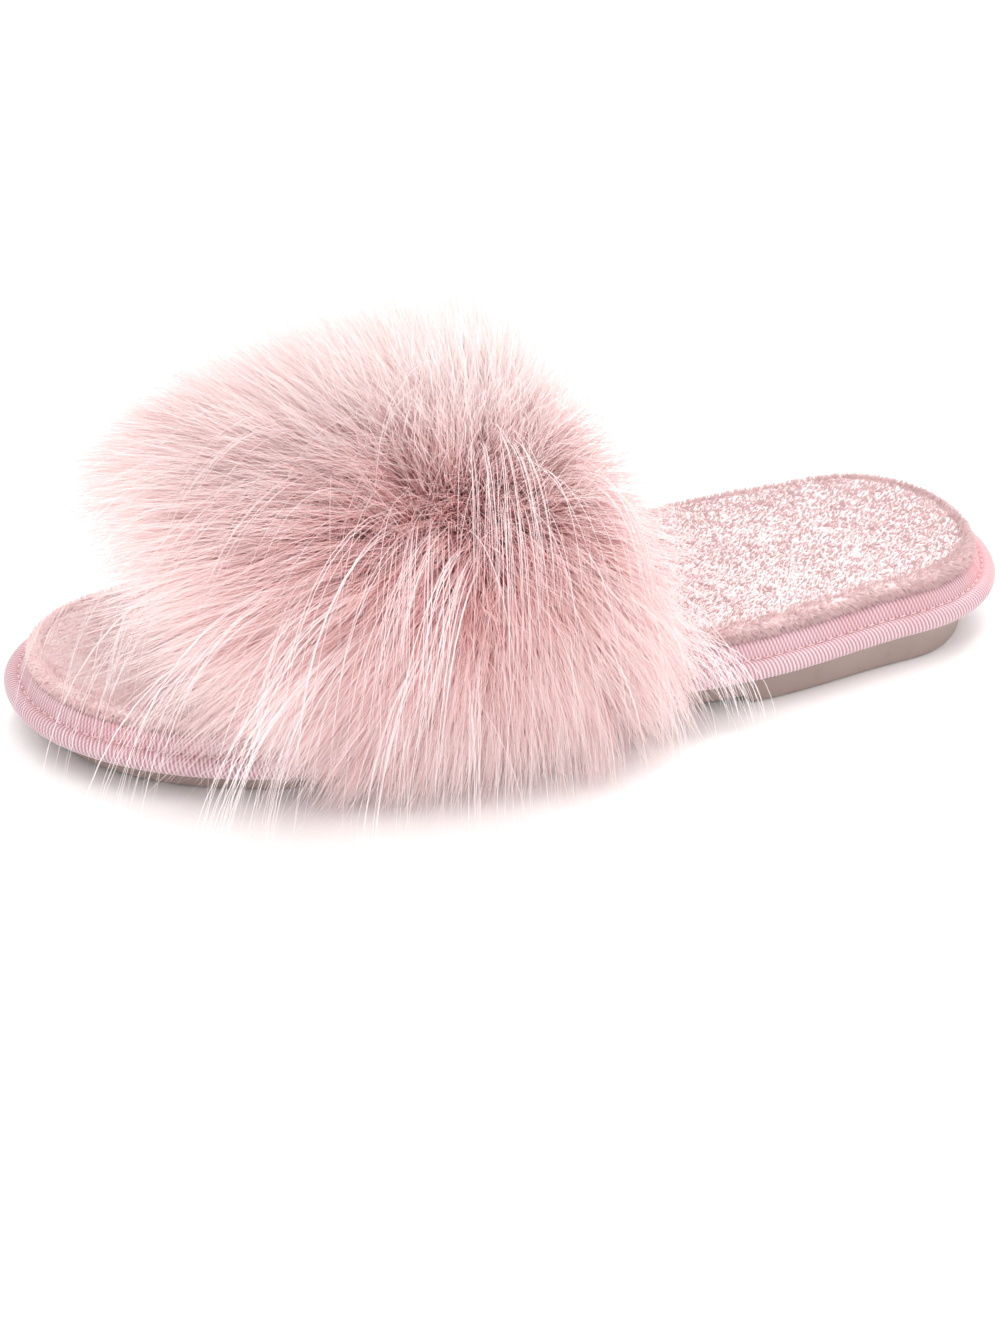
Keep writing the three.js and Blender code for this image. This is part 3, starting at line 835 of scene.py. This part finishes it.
# How pale the tufts are: anywhere; at the toe, painted light where the fur's shade falls; on the
# rounded edge, painted light where it lies in shade; and less pale on one darker spot
PILE_TINT = 0.12
PATCH_TINT = 0.07
CLUMP_TINT = 0.04
TUFT_TINT = 0.05
TOE_PAINTED_LIGHT = 0.85
TOE_PAINTED_LIGHT_REACH = (130, 190)
RIM_PAINTED_LIGHT = 0.35
SPOT_TINT = 0.4
SPOT_CENTRE = (62, 20)
SPOT_SPREAD = (90, 30)

PILE_STOPS = [(0.0, (204, 177, 178)), (0.6, (206, 180, 181)), (1.0, (209, 183, 184))]
PILE_PALE = (243, 224, 223)
PILE_TRANSLUCENCY = 0.5


def top_tufts(outline):
    """The roots of the tufts on the plush's top, and the way out there."""
    low = outline.plan.min(0)
    high = outline.plan.max(0)
    flat = random.uniform(low, high, (int(TOP_TUFTS * TUFT_SPARE), 2))
    flat = flat[inset_from(outline, flat) > TOP_TUFT_INSET][:TOP_TUFTS]
    height = plush_height(flat[:, 0], flat[:, 1], along_of(flat[:, 0]))
    return np.c_[flat, height - TOP_ROOT_DEPTH], np.tile([0.0, 0.0, 1.0], (len(flat), 1))


def rim_tufts(outline):
    """The roots of the tufts on the plush's rounded edge, and the way out there."""
    pick = random.integers(0, outline.count, RIM_TUFTS)
    share = random.uniform(0, 1, RIM_TUFTS) ** RIM_TUFT_CROWDING
    turn = np.radians(mix(*RIM_TUFT_TURN, share))
    inset, height = rim_point(turn)
    flat = outline.plan[pick] + outline.inward[pick] * (inset + RIM_ROOT_INSET)[:, None]
    roots = np.c_[flat, base_at(flat[:, 0]) + height - RIM_ROOT_DEPTH * np.sin(turn)]
    return roots, np.c_[-outline.inward[pick] * np.cos(turn)[:, None], np.sin(turn)]


def make_pile():
    """Short pile over the plush: leaning tufts with soft tips, down over its rounded edge."""
    outline = Outline(PILE_OUTLINE_POINTS)
    roots, out = top_tufts(outline)
    rim = slice(len(roots), None)
    rim_roots, rim_out = rim_tufts(outline)
    roots = np.r_[roots, rim_roots]
    out = np.r_[out, rim_out]
    count = len(roots)
    x, y = roots[:, 0], roots[:, 1]
    sweep = PILE_SWEEP + PILE_DRIFT * fine_noise(x, y, *DRIFT_NOISE)
    lean = np.c_[np.cos(sweep), np.sin(sweep), np.zeros(count)] * PILE_LEAN
    lean[rim] = lean[rim] * RIM_TUFT_LEAN + np.array(RIM_TUFT_DROP)
    direction = out + lean + random.normal(0, PILE_JITTER, (count, 3))
    direction /= np.linalg.norm(direction, axis=1)[:, None]
    clump = fine_noise(x, y, *CLUMP_NOISE)
    length = random.uniform(*PILE_LENGTHS, count) * (1 + CLUMP_LENGTH * clump)
    length[rim] *= RIM_TUFT_LENGTH
    t = np.array([0, 0.6, 1.0])[:, None, None]
    bend = np.c_[lean[:, :2], np.full(count, PILE_FALL)] * PILE_BEND
    paths = roots[None] + direction[None] * length[None, :, None] * t + bend[None] * t**2
    shade = PILE_TINT + PATCH_TINT * fine_noise(x, y, *TINT_NOISE) + CLUMP_TINT * clump
    # Painted light at the toe, where the fur's shade falls
    shade += TOE_PAINTED_LIGHT * ease(x, *TOE_PAINTED_LIGHT_REACH)
    # A darker spot on the plush
    apart = (x - SPOT_CENTRE[0]) ** 2 / SPOT_SPREAD[0] + (y - SPOT_CENTRE[1]) ** 2 / SPOT_SPREAD[1]
    spot = SPOT_TINT * np.exp(-apart)
    tints = np.clip(shade + random.normal(0, TUFT_TINT, count) - spot, 0, 1)
    # Painted light on the rounded edge, which lies in shade
    tints[rim] = np.clip(tints[rim] + RIM_PAINTED_LIGHT, 0, 1)
    material = hair_material("plush_pile", PILE_STOPS, PILE_PALE, PILE_TRANSLUCENCY)
    widths = random.uniform(*PILE_WIDTHS, count)
    widths[rim] *= RIM_TUFT_WIDTH
    marks = {"tint": tints}
    thing = hair_mesh("plush_pile", paths, widths, marks, out, material, twist=PILE_TWIST)
    return place(thing, "plush")


# Strap

STRAP_STATIONS = 28
STRAP_STEPS = 96
STRAP_EDGE_TURNS = 5
STRAP_EDGE_SWELL = 0.012
STRAP_UPRIGHT = 0.08
STRAP_SPAN = 0.01


def strap_point(u, v):
    """A point of the strap's outer face: u runs from the throat to the toe, v over the arch."""
    turn = np.pi * np.clip(v, 0, 1)
    sine = np.maximum(np.sin(turn), 0)
    up = sine**STRAP_EDGE_CURVE
    rear = mix(STRAP_REAR_FOOT, STRAP_REAR_TOP, up)
    front = mix(STRAP_FRONT_FOOT, STRAP_FRONT_TOP, up)
    x = mix(rear, front, u)
    middle, half = footbed_at(along_of(x))
    cosine = np.cos(turn)
    across = np.sign(cosine) * np.abs(cosine) ** STRAP_SIDE_CURVE
    rise = mix(THROAT_RISE, TOE_RISE, u) * sine**STRAP_TOP_CURVE
    y = middle + (half - STRAP_FOOT_INSET) * across - STRAP_SHIFT * sine * sine
    return np.stack([x, y, base_at(x) + STRAP_FOOT + rise], axis=-1)


def strap_normal(u, v):
    """The way out of the strap there, made level at its two feet."""
    step = STRAP_SPAN
    low = np.clip(v, step, 1 - step)
    along_run = strap_point(u + step, low) - strap_point(u - step, low)
    over_run = strap_point(u, low + step) - strap_point(u, low - step)
    normal = -np.cross(along_run, over_run)
    normal /= np.linalg.norm(normal, axis=-1)[..., None]
    upright = ease(np.minimum(v, 1 - v), 0, STRAP_UPRIGHT)
    normal[..., 2] *= upright
    normal[..., 0] *= upright
    return normal / np.linalg.norm(normal, axis=-1)[..., None]


def make_strap():
    """The strap's cloth: a band with rounded edges, cloth outside and a lining inside."""
    shares = [k / STRAP_STATIONS for k in range(STRAP_STATIONS + 1)]
    turns = [math.pi * k / STRAP_EDGE_TURNS for k in range(1, STRAP_EDGE_TURNS)]
    edge = [(STRAP_EDGE_SWELL * math.sin(turn), 0.5 + 0.5 * math.cos(turn)) for turn in turns]
    loop = [(share, 1.0) for share in shares]
    loop += [(1 + swell, depth) for swell, depth in edge]
    loop += [(1 - share, 0.0) for share in shares]
    loop += [(-swell, 1 - depth) for swell, depth in edge]
    loop = np.array(loop[::-1])
    u = loop[:, 0]
    rows = []
    for k in range(STRAP_STEPS + 1):
        v = np.full(len(loop), k / STRAP_STEPS)
        point = strap_point(u, v)
        point = point - strap_normal(u, v) * (STRAP_WALL * (1 - loop[:, 1]))[:, None]
        if k in (0, STRAP_STEPS):
            inset = STRAP_FOOT_INSET + STRAP_WALL * (1 - loop[:, 1])
            point[:, 2] = base_at(point[:, 0]) + flange_height(inset) + SEAT
        rows.append(point)
    last = STRAP_STEPS * len(loop)
    tris = []
    for i in range(1, len(loop) - 1):
        tris.append((0, i + 1, i))
        tris.append((last, last + i, last + i + 1))
    thing = build_rings("strap_cloth", rows, cloth_material(), tris=tris)
    return place(thing, "strap_cloth", "strap")


# Fur

# The strap's rough length and width, to measure how near two hairs are
STRAP_ARC = 150.0
STRAP_RUN = 68.0

STRAP_MARGIN = 0.006
FRONT_CROWDING = 1.25
NEAREST_BATCH = 4000
HAIR_STEPS = 6
LAYER_HAIRS = 19200

# Guides, which the hairs gather round
GUIDES = 900
GUIDE_JITTER = 0.16
GUIDE_REACH = (0.86, 1.12)
GUIDE_WANDER = 2.2

# Wisps: the share of hairs that are longer, wilder and finer
WISP_SHARE = 0.12
WISP_REACH = (1.05, 1.3)
WISP_JITTER = 1.6
WISP_WIDTH = 0.7

HAIR_CURL = 0.9
FLOOR_GAPS = (0.2, 2.0)
HAIR_WIDTHS = (0.8, 1.2)

# Which way the hairs' flat sides face: by the strap's way and the hair's, and a lift
FACING_SHARES = (0.75, 0.5)
FACING_JITTER = 0.12
FACING_LIFT = 0.25
GUARD_FACING_LIFT = 0.5

# The parting, where the hair is painted a deeper pink as shade down among its roots: its place and
# size in u and v, and how much
PARTING_PLACE = (0.5, 0.25)
PARTING_SIZE = (0.32, 0.12)
PARTING_SHADE_STRENGTH = 0.4
PARTING_JITTER = 0.08
MOST_PARTING_SHADE = 0.7

# How pale the hairs are: the least; the crown's, which is painted light on the fur's top and rear; and
# how much that fades towards the toe
PALE_LEAST = 0.15
CROWN_PAINTED_LIGHT = 0.8
CROWN_LIGHT_FADE = 0.7
GUIDE_TINT = 0.4
HAIR_TINT = 0.12

# Layers: name, shortest and longest reach, how far it gathers, unevenness and width
FUR_LAYERS = [
    ("fur_under", 0.60, 0.92, 0.28, 0.50, 0.42),
    ("fur_middle", 0.84, 1.10, 0.46, 0.30, 0.26),
    ("fur_outer", 0.96, 1.22, 0.54, 0.22, 0.18),
]
# Painted pink shade for the parting
PARTING_SHADE_PINK = (232, 164, 164)
# Darker, pinker roots: painted shade deep among the hairs
UNDER_STOPS = [(0.0, (241, 174, 176)), (0.4, (245, 204, 205)), (1.0, (248, 228, 228))]
UNDER_PALE = (249, 239, 238)
# Darker, pinker roots: painted shade deep among the hairs
FUR_STOPS = [
    (0.0, (242, 178, 180)), (0.25, (244, 213, 213)), (0.65, (247, 230, 229)), (1.0, (249, 238, 237)),
]
FUR_PALE = (251, 248, 247)
FUR_TRANSLUCENCY = 0.58


def hair_away(u, v, spread):
    """The way a hair starts: off the strap, fanning back at the throat and forward at the toe."""
    front = mix(FAN_FRONT_SIDE, FAN_FRONT, np.sin(np.pi * np.clip(v, 0, 1)))
    fan = np.radians(mix(-FAN_BACK, front, u) * spread)
    away = strap_normal(u, v) * np.cos(fan)[..., None]
    away[..., 0] += np.sin(fan)
    return away


# The slipper's top under the hairs: its height over the footbed's underside at each inset
SURFACE_INSETS = [-0.1, 0, 0.6, 2.5, 3.75, 5, 6.2, 7, 9]
SURFACE_HEIGHTS = [0, 3.2, 4.8, 5.7, 5.4, 7.4, 9.2, 9.9, 14]
END_MARGIN = 0.001


def rest_on(points, clearance):
    """Lifts points that would lie inside the slipper or the floor on to its surface."""
    x = points[..., 0]
    along = np.clip(along_of(x), END_MARGIN, 1 - END_MARGIN)
    middle, half = footbed_at(along)
    inset = half - np.abs(points[..., 1] - middle)
    surface = base_at(x) + np.interp(inset, SURFACE_INSETS, SURFACE_HEIGHTS)
    surface = np.where(inset < 0, 0, surface)
    out = points.copy()
    out[..., 2] = np.maximum(points[..., 2], surface + clearance)
    return out


ROOT_LIFT = 0.1


def grow(u, v, reach, jitter):
    """Hair paths over the strap, (steps, hairs, 3). Both shoulders have longer hair."""
    crown = np.sin(np.pi * v)
    top = FUR_TOP * top_share(np.clip(u, 0, 1))
    side = FUR_SIDE * side_share(np.clip(u, 0, 1))
    wave = np.sin(2 * np.pi * v)
    shoulder = np.maximum(wave, 0) ** 2.4 * np.clip(u, 0, 1) ** 3
    far_shoulder = np.maximum(-wave, 0) ** 2
    flare = FRONT_FLARE * shoulder + INNER_FLARE * far_shoulder
    length = (mix(side, top, crown) + flare) * reach
    away = hair_away(u, v, 1.0) + jitter
    away /= np.linalg.norm(away, axis=1)[:, None]
    roots = strap_point(u, v) + strap_normal(u, v) * ROOT_LIFT
    t = np.linspace(0, 1, HAIR_STEPS)[:, None, None]
    paths = roots[None] + away[None] * length[None, :, None] * t
    fall = mix(SIDE_DROOP, TOP_DROOP * (1 + np.clip(u, 0, 1)), crown) * reach
    paths[..., 2] -= fall[None, :] * t[..., 0] ** 2
    return paths


def within_limits(paths):
    """Presses the farthest tips back softly at the front and the crown, which end in a dome."""
    out = paths.copy()
    for axis, limit, softness in FUR_LIMITS:
        over = np.maximum(paths[..., axis] - limit, 0)
        out[..., axis] -= over - softness * (1 - np.exp(-over / softness))
    return out


def nearest(points, guides):
    """The index of each point's nearest guide."""
    best = np.zeros(len(points), int)
    for start in range(0, len(points), NEAREST_BATCH):
        part = slice(start, start + NEAREST_BATCH)
        gap = ((points[part, None, :] - guides[None]) ** 2).sum(2)
        best[part] = gap.argmin(1)
    return best


def sample_strap(count):
    """Random places on the strap, as u and v. The front edge's hair fans wide, so it has more."""
    u = 1 - random.uniform(0, 1, count) ** FRONT_CROWDING
    return u, random.uniform(STRAP_MARGIN, 1 - STRAP_MARGIN, count)


class Guides:
    """A few hairs that the others gather round, with a tint that they share."""

    def __init__(self):
        u, v = sample_strap(GUIDES)
        jitter = random.normal(0, GUIDE_JITTER, (GUIDES, 3))
        self.reach = random.uniform(*GUIDE_REACH, GUIDES)
        self.places = np.c_[u * STRAP_RUN, v * STRAP_ARC]
        self.tint = random.uniform(0, 1, GUIDES)
        self.t = np.linspace(0, 1, HAIR_STEPS)[:, None, None]
        wander = random.normal(0, GUIDE_WANDER, (1, GUIDES, 3))
        straight = grow(u, v, self.reach, jitter)
        self.paths = straight + wander * np.sin(self.t * np.pi * 0.7) * self.t

    def gather(self, paths, near, reach, share):
        """Draws hairs towards their guides, more so towards their tips."""
        roots = self.paths[0][near][None]
        scale = (reach / self.reach[near])[None, :, None]
        target = roots + (self.paths[:, near] - roots) * scale
        return mix(paths, target, share * self.t**1.4)

    def curl(self, paths):
        """Bends each hair's tip a little its own way."""
        bends = random.normal(0, 1.0, (1, paths.shape[1], 3))
        return paths + bends * np.sin(self.t * np.pi * 1.5) * HAIR_CURL * self.t


def facing_of(u, v):
    """The way that the flat side of each hair faces, between the strap's and the hair's own."""
    outward = strap_normal(u, v) * FACING_SHARES[0] + hair_away(u, v, 1.0) * FACING_SHARES[1]
    outward += random.normal(0, FACING_JITTER, outward.shape)
    outward[:, 2] += FACING_LIFT
    return outward / np.linalg.norm(outward, axis=1)[:, None]


def fur_layer(name, shortest, longest, gather, spread, width, guides, material):
    """One joined mesh of hairs that gather round the guides."""
    count = LAYER_HAIRS
    u, v = sample_strap(count)
    near = nearest(np.c_[u * STRAP_RUN, v * STRAP_ARC], guides.places)
    reach = random.uniform(shortest, longest, count)
    wisps = random.uniform(0, 1, count) < WISP_SHARE
    reach = np.where(wisps, reach * random.uniform(*WISP_REACH, count), reach)
    jitter = random.normal(0, spread, (count, 3))
    jitter *= np.where(wisps, WISP_JITTER, 1.0)[:, None]
    paths = guides.curl(guides.gather(grow(u, v, reach, jitter), near, reach, gather))
    paths = within_limits(rest_on(paths, random.uniform(*FLOOR_GAPS, (1, count))))
    outward = facing_of(u, v)
    # Paler over the crown and towards the throat: painted light on the fur's top, added to each
    # guide's own tint
    pale_and_crown_light = PALE_LEAST + CROWN_PAINTED_LIGHT * np.sin(np.pi * v) ** 3 * (1 - CROWN_LIGHT_FADE * u)
    pale_and_crown_light += GUIDE_TINT * (guides.tint[near] - 0.5)
    tints = np.clip(pale_and_crown_light + random.normal(0, HAIR_TINT, count), 0, 1)
    widths = random.uniform(*HAIR_WIDTHS, count) * width * np.where(wisps, WISP_WIDTH, 1.0)
    # Painted pink shade over the parting, strongest at its middle
    apart_u = (u - PARTING_PLACE[0]) / PARTING_SIZE[0]
    apart_v = (v - PARTING_PLACE[1]) / PARTING_SIZE[1]
    parting_shade_share = np.exp(-(apart_v**2) - apart_u**2)
    painted_parting_shade = np.clip(PARTING_SHADE_STRENGTH * parting_shade_share + random.normal(0, PARTING_JITTER, count), 0, MOST_PARTING_SHADE)
    return hair_mesh(name, paths, widths, {"tint": tints, "painted_parting_shade": painted_parting_shade}, outward, material)


def make_fur():
    """The pile: three joined meshes of clumped hairs, from dense short ones to long loose ones."""
    guides = Guides()
    under = hair_material("fur_under_hair", UNDER_STOPS, UNDER_PALE, FUR_TRANSLUCENCY, PARTING_SHADE_PINK)
    over = hair_material("fur_hair", FUR_STOPS, FUR_PALE, FUR_TRANSLUCENCY, PARTING_SHADE_PINK)
    for name, *values in FUR_LAYERS:
        if name == "fur_under":
            place(fur_layer(name, *values, guides, under), "fur", "fur")
        else:
            place(fur_layer(name, *values, guides, over), "fur")


# Farthest reach of a guard hair: the axis and the limit, past which it is made shorter
GUARD_LIMITS = ((0, 232), (1, 104), (2, 110))
SHORTEST_SHARE = 0.2

# Groups of strands: how many, u from and to, v from and to, heading, shortest and longest, weight
GUARD_GROUPS = [
    (22, 0.35, 1.0, 0.16, 0.5, (0.75, 0.3, 0.1), 78, 122, 1.0),
    (10, 0.1, 0.8, 0.22, 0.5, (0.15, 0.35, 0.2), 62, 92, 1.5),
    (4, 0.0, 0.2, 0.3, 0.5, (-0.5, 0.2, 0.2), 58, 74, 1.4),
    (4, 0.0, 0.05, 0.02, 0.07, (-1.2, 0.1, 0.1), 34, 52, 0.9),
    (8, 0.2, 1.0, 0.5, 0.85, (0.3, -0.2, 0.2), 60, 96, 1.2),
]
STRAND_HAIRS = 9
STRAND_JITTER = 0.16
STRAND_WEIGHTS = (0.8, 1.25)
STRAND_TINTS = (0.5, 1.0)
STRAND_WIDTHS = (0.15, 0.23)

# How far the hairs of a strand differ, in u, in v and in heading
STRAND_SPREAD = (0.014, 0.009, 0.038)

LOOSE_HAIRS = 620
LOOSE_MARGIN = 0.03
LOOSE_HEADING = 0.3
LOOSE_REACH = (50, 84)
LOOSE_WEIGHTS = (0.7, 1.8)
LOOSE_TINTS = (0.2, 0.9)
LOOSE_WIDTHS = (0.1, 0.18)

GUARD_STEPS = 14
GUARD_MARGIN = 0.02
GUARD_FAN = 0.75
GUARD_LENGTHS = (0.82, 1.05)
GUARD_FALL = 7.2
GUARD_CLEARANCE = 0.35
GUARD_REST = 0.3
TOUCHING_SLOPE = -0.25
# Darker, pinker roots: painted shade deep among the hairs
GUARD_STOPS = [(0.0, (228, 180, 182)), (0.4, (242, 222, 223)), (1.0, (247, 238, 239))]
GUARD_PALE = (251, 246, 247)
GUARD_TRANSLUCENCY = 0.5


def guard_table():
    """A row for each guard hair: u, v, three of heading, reach and weight. Strands come first."""
    table = []
    for number, u_low, u_high, v_low, v_high, heading, shortest, longest, weight in GUARD_GROUPS:
        for _ in range(number):
            lean = np.array(heading) + random.normal(0, STRAND_JITTER, 3)
            spot = random.uniform(u_low, u_high), random.uniform(v_low, v_high)
            reach = random.uniform(shortest, longest)
            table.append((*spot, *lean, reach, weight * random.uniform(*STRAND_WEIGHTS)))
    strands = np.repeat(np.array(table), STRAND_HAIRS, axis=0)
    strands[:, 0] += random.normal(0, STRAND_SPREAD[0], len(strands))
    strands[:, 1] += random.normal(0, STRAND_SPREAD[1], len(strands))
    strands[:, 2:5] += random.normal(0, STRAND_SPREAD[2], (len(strands), 3))
    loose = np.c_[
        random.uniform(0, 1, LOOSE_HAIRS), random.uniform(LOOSE_MARGIN, 1 - LOOSE_MARGIN, LOOSE_HAIRS),
        random.normal(0, LOOSE_HEADING, (LOOSE_HAIRS, 3)), random.uniform(*LOOSE_REACH, LOOSE_HAIRS),
        random.uniform(*LOOSE_WEIGHTS, LOOSE_HAIRS),
    ]
    return np.r_[strands, loose]


def hanging(point, heading, length, weight):
    """Paths that set out on their headings, fall more and more, and slide on what they meet."""
    paths = [point]
    stride = length / (GUARD_STEPS - 1)
    for k in range(GUARD_STEPS - 1):
        free = point + heading * stride[:, None]
        point = rest_on(free[None], GUARD_CLEARANCE)[0]
        touching = point[:, 2] > free[:, 2] + 1e-6
        paths.append(point)
        heading = heading.copy()
        heading[:, 2] -= weight * GUARD_FALL * (k + 1) / GUARD_STEPS**2
        heading[touching, 2] = np.maximum(heading[touching, 2], TOUCHING_SLOPE)
        heading /= np.linalg.norm(heading, axis=1)[:, None]
    return np.stack(paths)


def made_shorter(paths):
    """Shrinks each path that goes past a limit towards its root, so that it fits."""
    share = np.ones(paths.shape[1])
    for axis, limit in GUARD_LIMITS:
        start = np.abs(paths[0, :, axis])
        far = np.abs(paths[..., axis]).max(0)
        fits = np.clip((limit - start) / (far - start + 0.1), SHORTEST_SHARE, 1)
        share = np.minimum(share, np.where(far > limit, fits, 1))
    return paths[0] + (paths - paths[0]) * share[None, :, None]


def make_guard_hairs():
    """Long pale guard hairs in loose strands. They hang over the edge and rest on the floor."""
    hairs = guard_table()
    count = len(hairs)
    strand_count = count - LOOSE_HAIRS
    u = np.clip(hairs[:, 0], 0, 1)
    v = np.clip(hairs[:, 1], GUARD_MARGIN, 1 - GUARD_MARGIN)
    heading = hair_away(u, v, GUARD_FAN) + hairs[:, 2:5]
    heading /= np.linalg.norm(heading, axis=1)[:, None]
    length = hairs[:, 5] * random.uniform(*GUARD_LENGTHS, count)
    paths = made_shorter(hanging(strap_point(u, v), heading, length, hairs[:, 6]))
    paths = rest_on(paths, GUARD_REST)
    outward = strap_normal(u, v) + np.array([0, 0, GUARD_FACING_LIFT])
    outward /= np.linalg.norm(outward, axis=1)[:, None]
    material = hair_material("guard_hair", GUARD_STOPS, GUARD_PALE, GUARD_TRANSLUCENCY)
    tints = np.r_[
        random.uniform(*STRAND_TINTS, strand_count), random.uniform(*LOOSE_TINTS, LOOSE_HAIRS),
    ]
    widths = np.r_[
        random.uniform(*STRAND_WIDTHS, strand_count), random.uniform(*LOOSE_WIDTHS, LOOSE_HAIRS),
    ]
    thing = hair_mesh("fur_guard_hairs", paths, widths, {"tint": tints}, outward, material)
    return place(thing, "fur")


# Camera, floor and light

CAMERA_AZIMUTH = math.radians(158.02)
CAMERA_ELEVATION = math.radians(29.28)
CAMERA_DISTANCE = 1004.7
CAMERA_TARGET = (110, 0, 20)
CAMERA_ASIDE = (10.94, -11.77)
CAMERA_LENS = 108.97
CAMERA_SENSOR = 36
CAMERA_CLIP = (0.05, 50)
LIGHT_AIM = (0.1, 0, 0.03)
# Lamps: how far they stand towards the camera, to its right and up, their size and power
LAMPS = {
    "key": (0.9, -0.55, 1.9, 1.4, 19),
    "fill": (1.3, 1.2, 0.8, 1.4, 8),
    "rim": (-1.0, 0.3, 1.3, 1.4, 20),
}
FLOOR_REACH = 6.0
WORLD_STRENGTH = 0.95


def make_camera():
    """The photo's view: aimed a little aside of the target, as the photo's framing is."""
    a, e = CAMERA_AZIMUTH, CAMERA_ELEVATION
    back = Vector((math.sin(a) * math.cos(e), -math.cos(a) * math.cos(e), math.sin(e)))
    right = Vector((math.cos(a), math.sin(a), 0))
    up = back.cross(right)
    target = Vector(CAMERA_TARGET)
    place_at = target + back * CAMERA_DISTANCE
    aim = target + right * CAMERA_ASIDE[0] + up * CAMERA_ASIDE[1]
    camera = bpy.data.objects.new("camera", bpy.data.cameras.new("camera"))
    bpy.context.scene.collection.objects.link(camera)
    camera.location = place_at * MM
    camera.rotation_euler = (aim - place_at).to_track_quat("-Z", "Y").to_euler()
    camera.data.lens = CAMERA_LENS
    camera.data.sensor_width = CAMERA_SENSOR
    camera.data.clip_start, camera.data.clip_end = CAMERA_CLIP
    bpy.context.scene.camera = camera
    return back, right


def make_light(name, where, size, power):
    lamp = bpy.data.lights.new(name, "AREA")
    lamp.shape = "DISK"
    lamp.size = size
    lamp.energy = power
    thing = bpy.data.objects.new(name, lamp)
    bpy.context.scene.collection.objects.link(thing)
    thing.location = where
    aim = Vector(LIGHT_AIM) - where
    thing.rotation_euler = aim.to_track_quat("-Z", "Y").to_euler()


def make_studio(back, right):
    """A pale floor, white surroundings and three soft lamps."""
    r = FLOOR_REACH
    mesh = bpy.data.meshes.new("floor")
    mesh.from_pydata([(-r, -r, 0), (r, -r, 0), (r, r, 0), (-r, r, 0)], [], [(0, 1, 2, 3)])
    floor = bpy.data.objects.new("floor", mesh)
    bpy.context.scene.collection.objects.link(floor)
    n = Nodes("pale_floor")
    shade = n.ramp(n.noise(3, 2), [(0.3, (250, 249, 248)), (0.7, (252, 251, 250))])
    mesh.materials.append(n.done(n.principled({"Base Color": shade, "Roughness": 0.9})))
    world = bpy.data.worlds.new("studio")
    bpy.context.scene.world = world
    world.use_nodes = True
    background = world.node_tree.nodes["Background"]
    background.inputs["Color"].default_value = (1, 1, 1, 1)
    background.inputs["Strength"].default_value = WORLD_STRENGTH
    flat_back = Vector((back.x, back.y, 0)).normalized()
    for name, (nearer, aside, height, size, power) in LAMPS.items():
        make_light(name, flat_back * nearer + right * aside + Vector((0, 0, height)), size, power)


def main():
    back, right = make_camera()
    make_studio(back, right)
    make_outsole()
    make_board()
    make_ribbon()
    make_stitches()
    make_plush()
    make_pile()
    make_strap()
    make_fur()
    make_guard_hairs()
    bpy.context.scene.view_settings.view_transform = "Standard"


main()
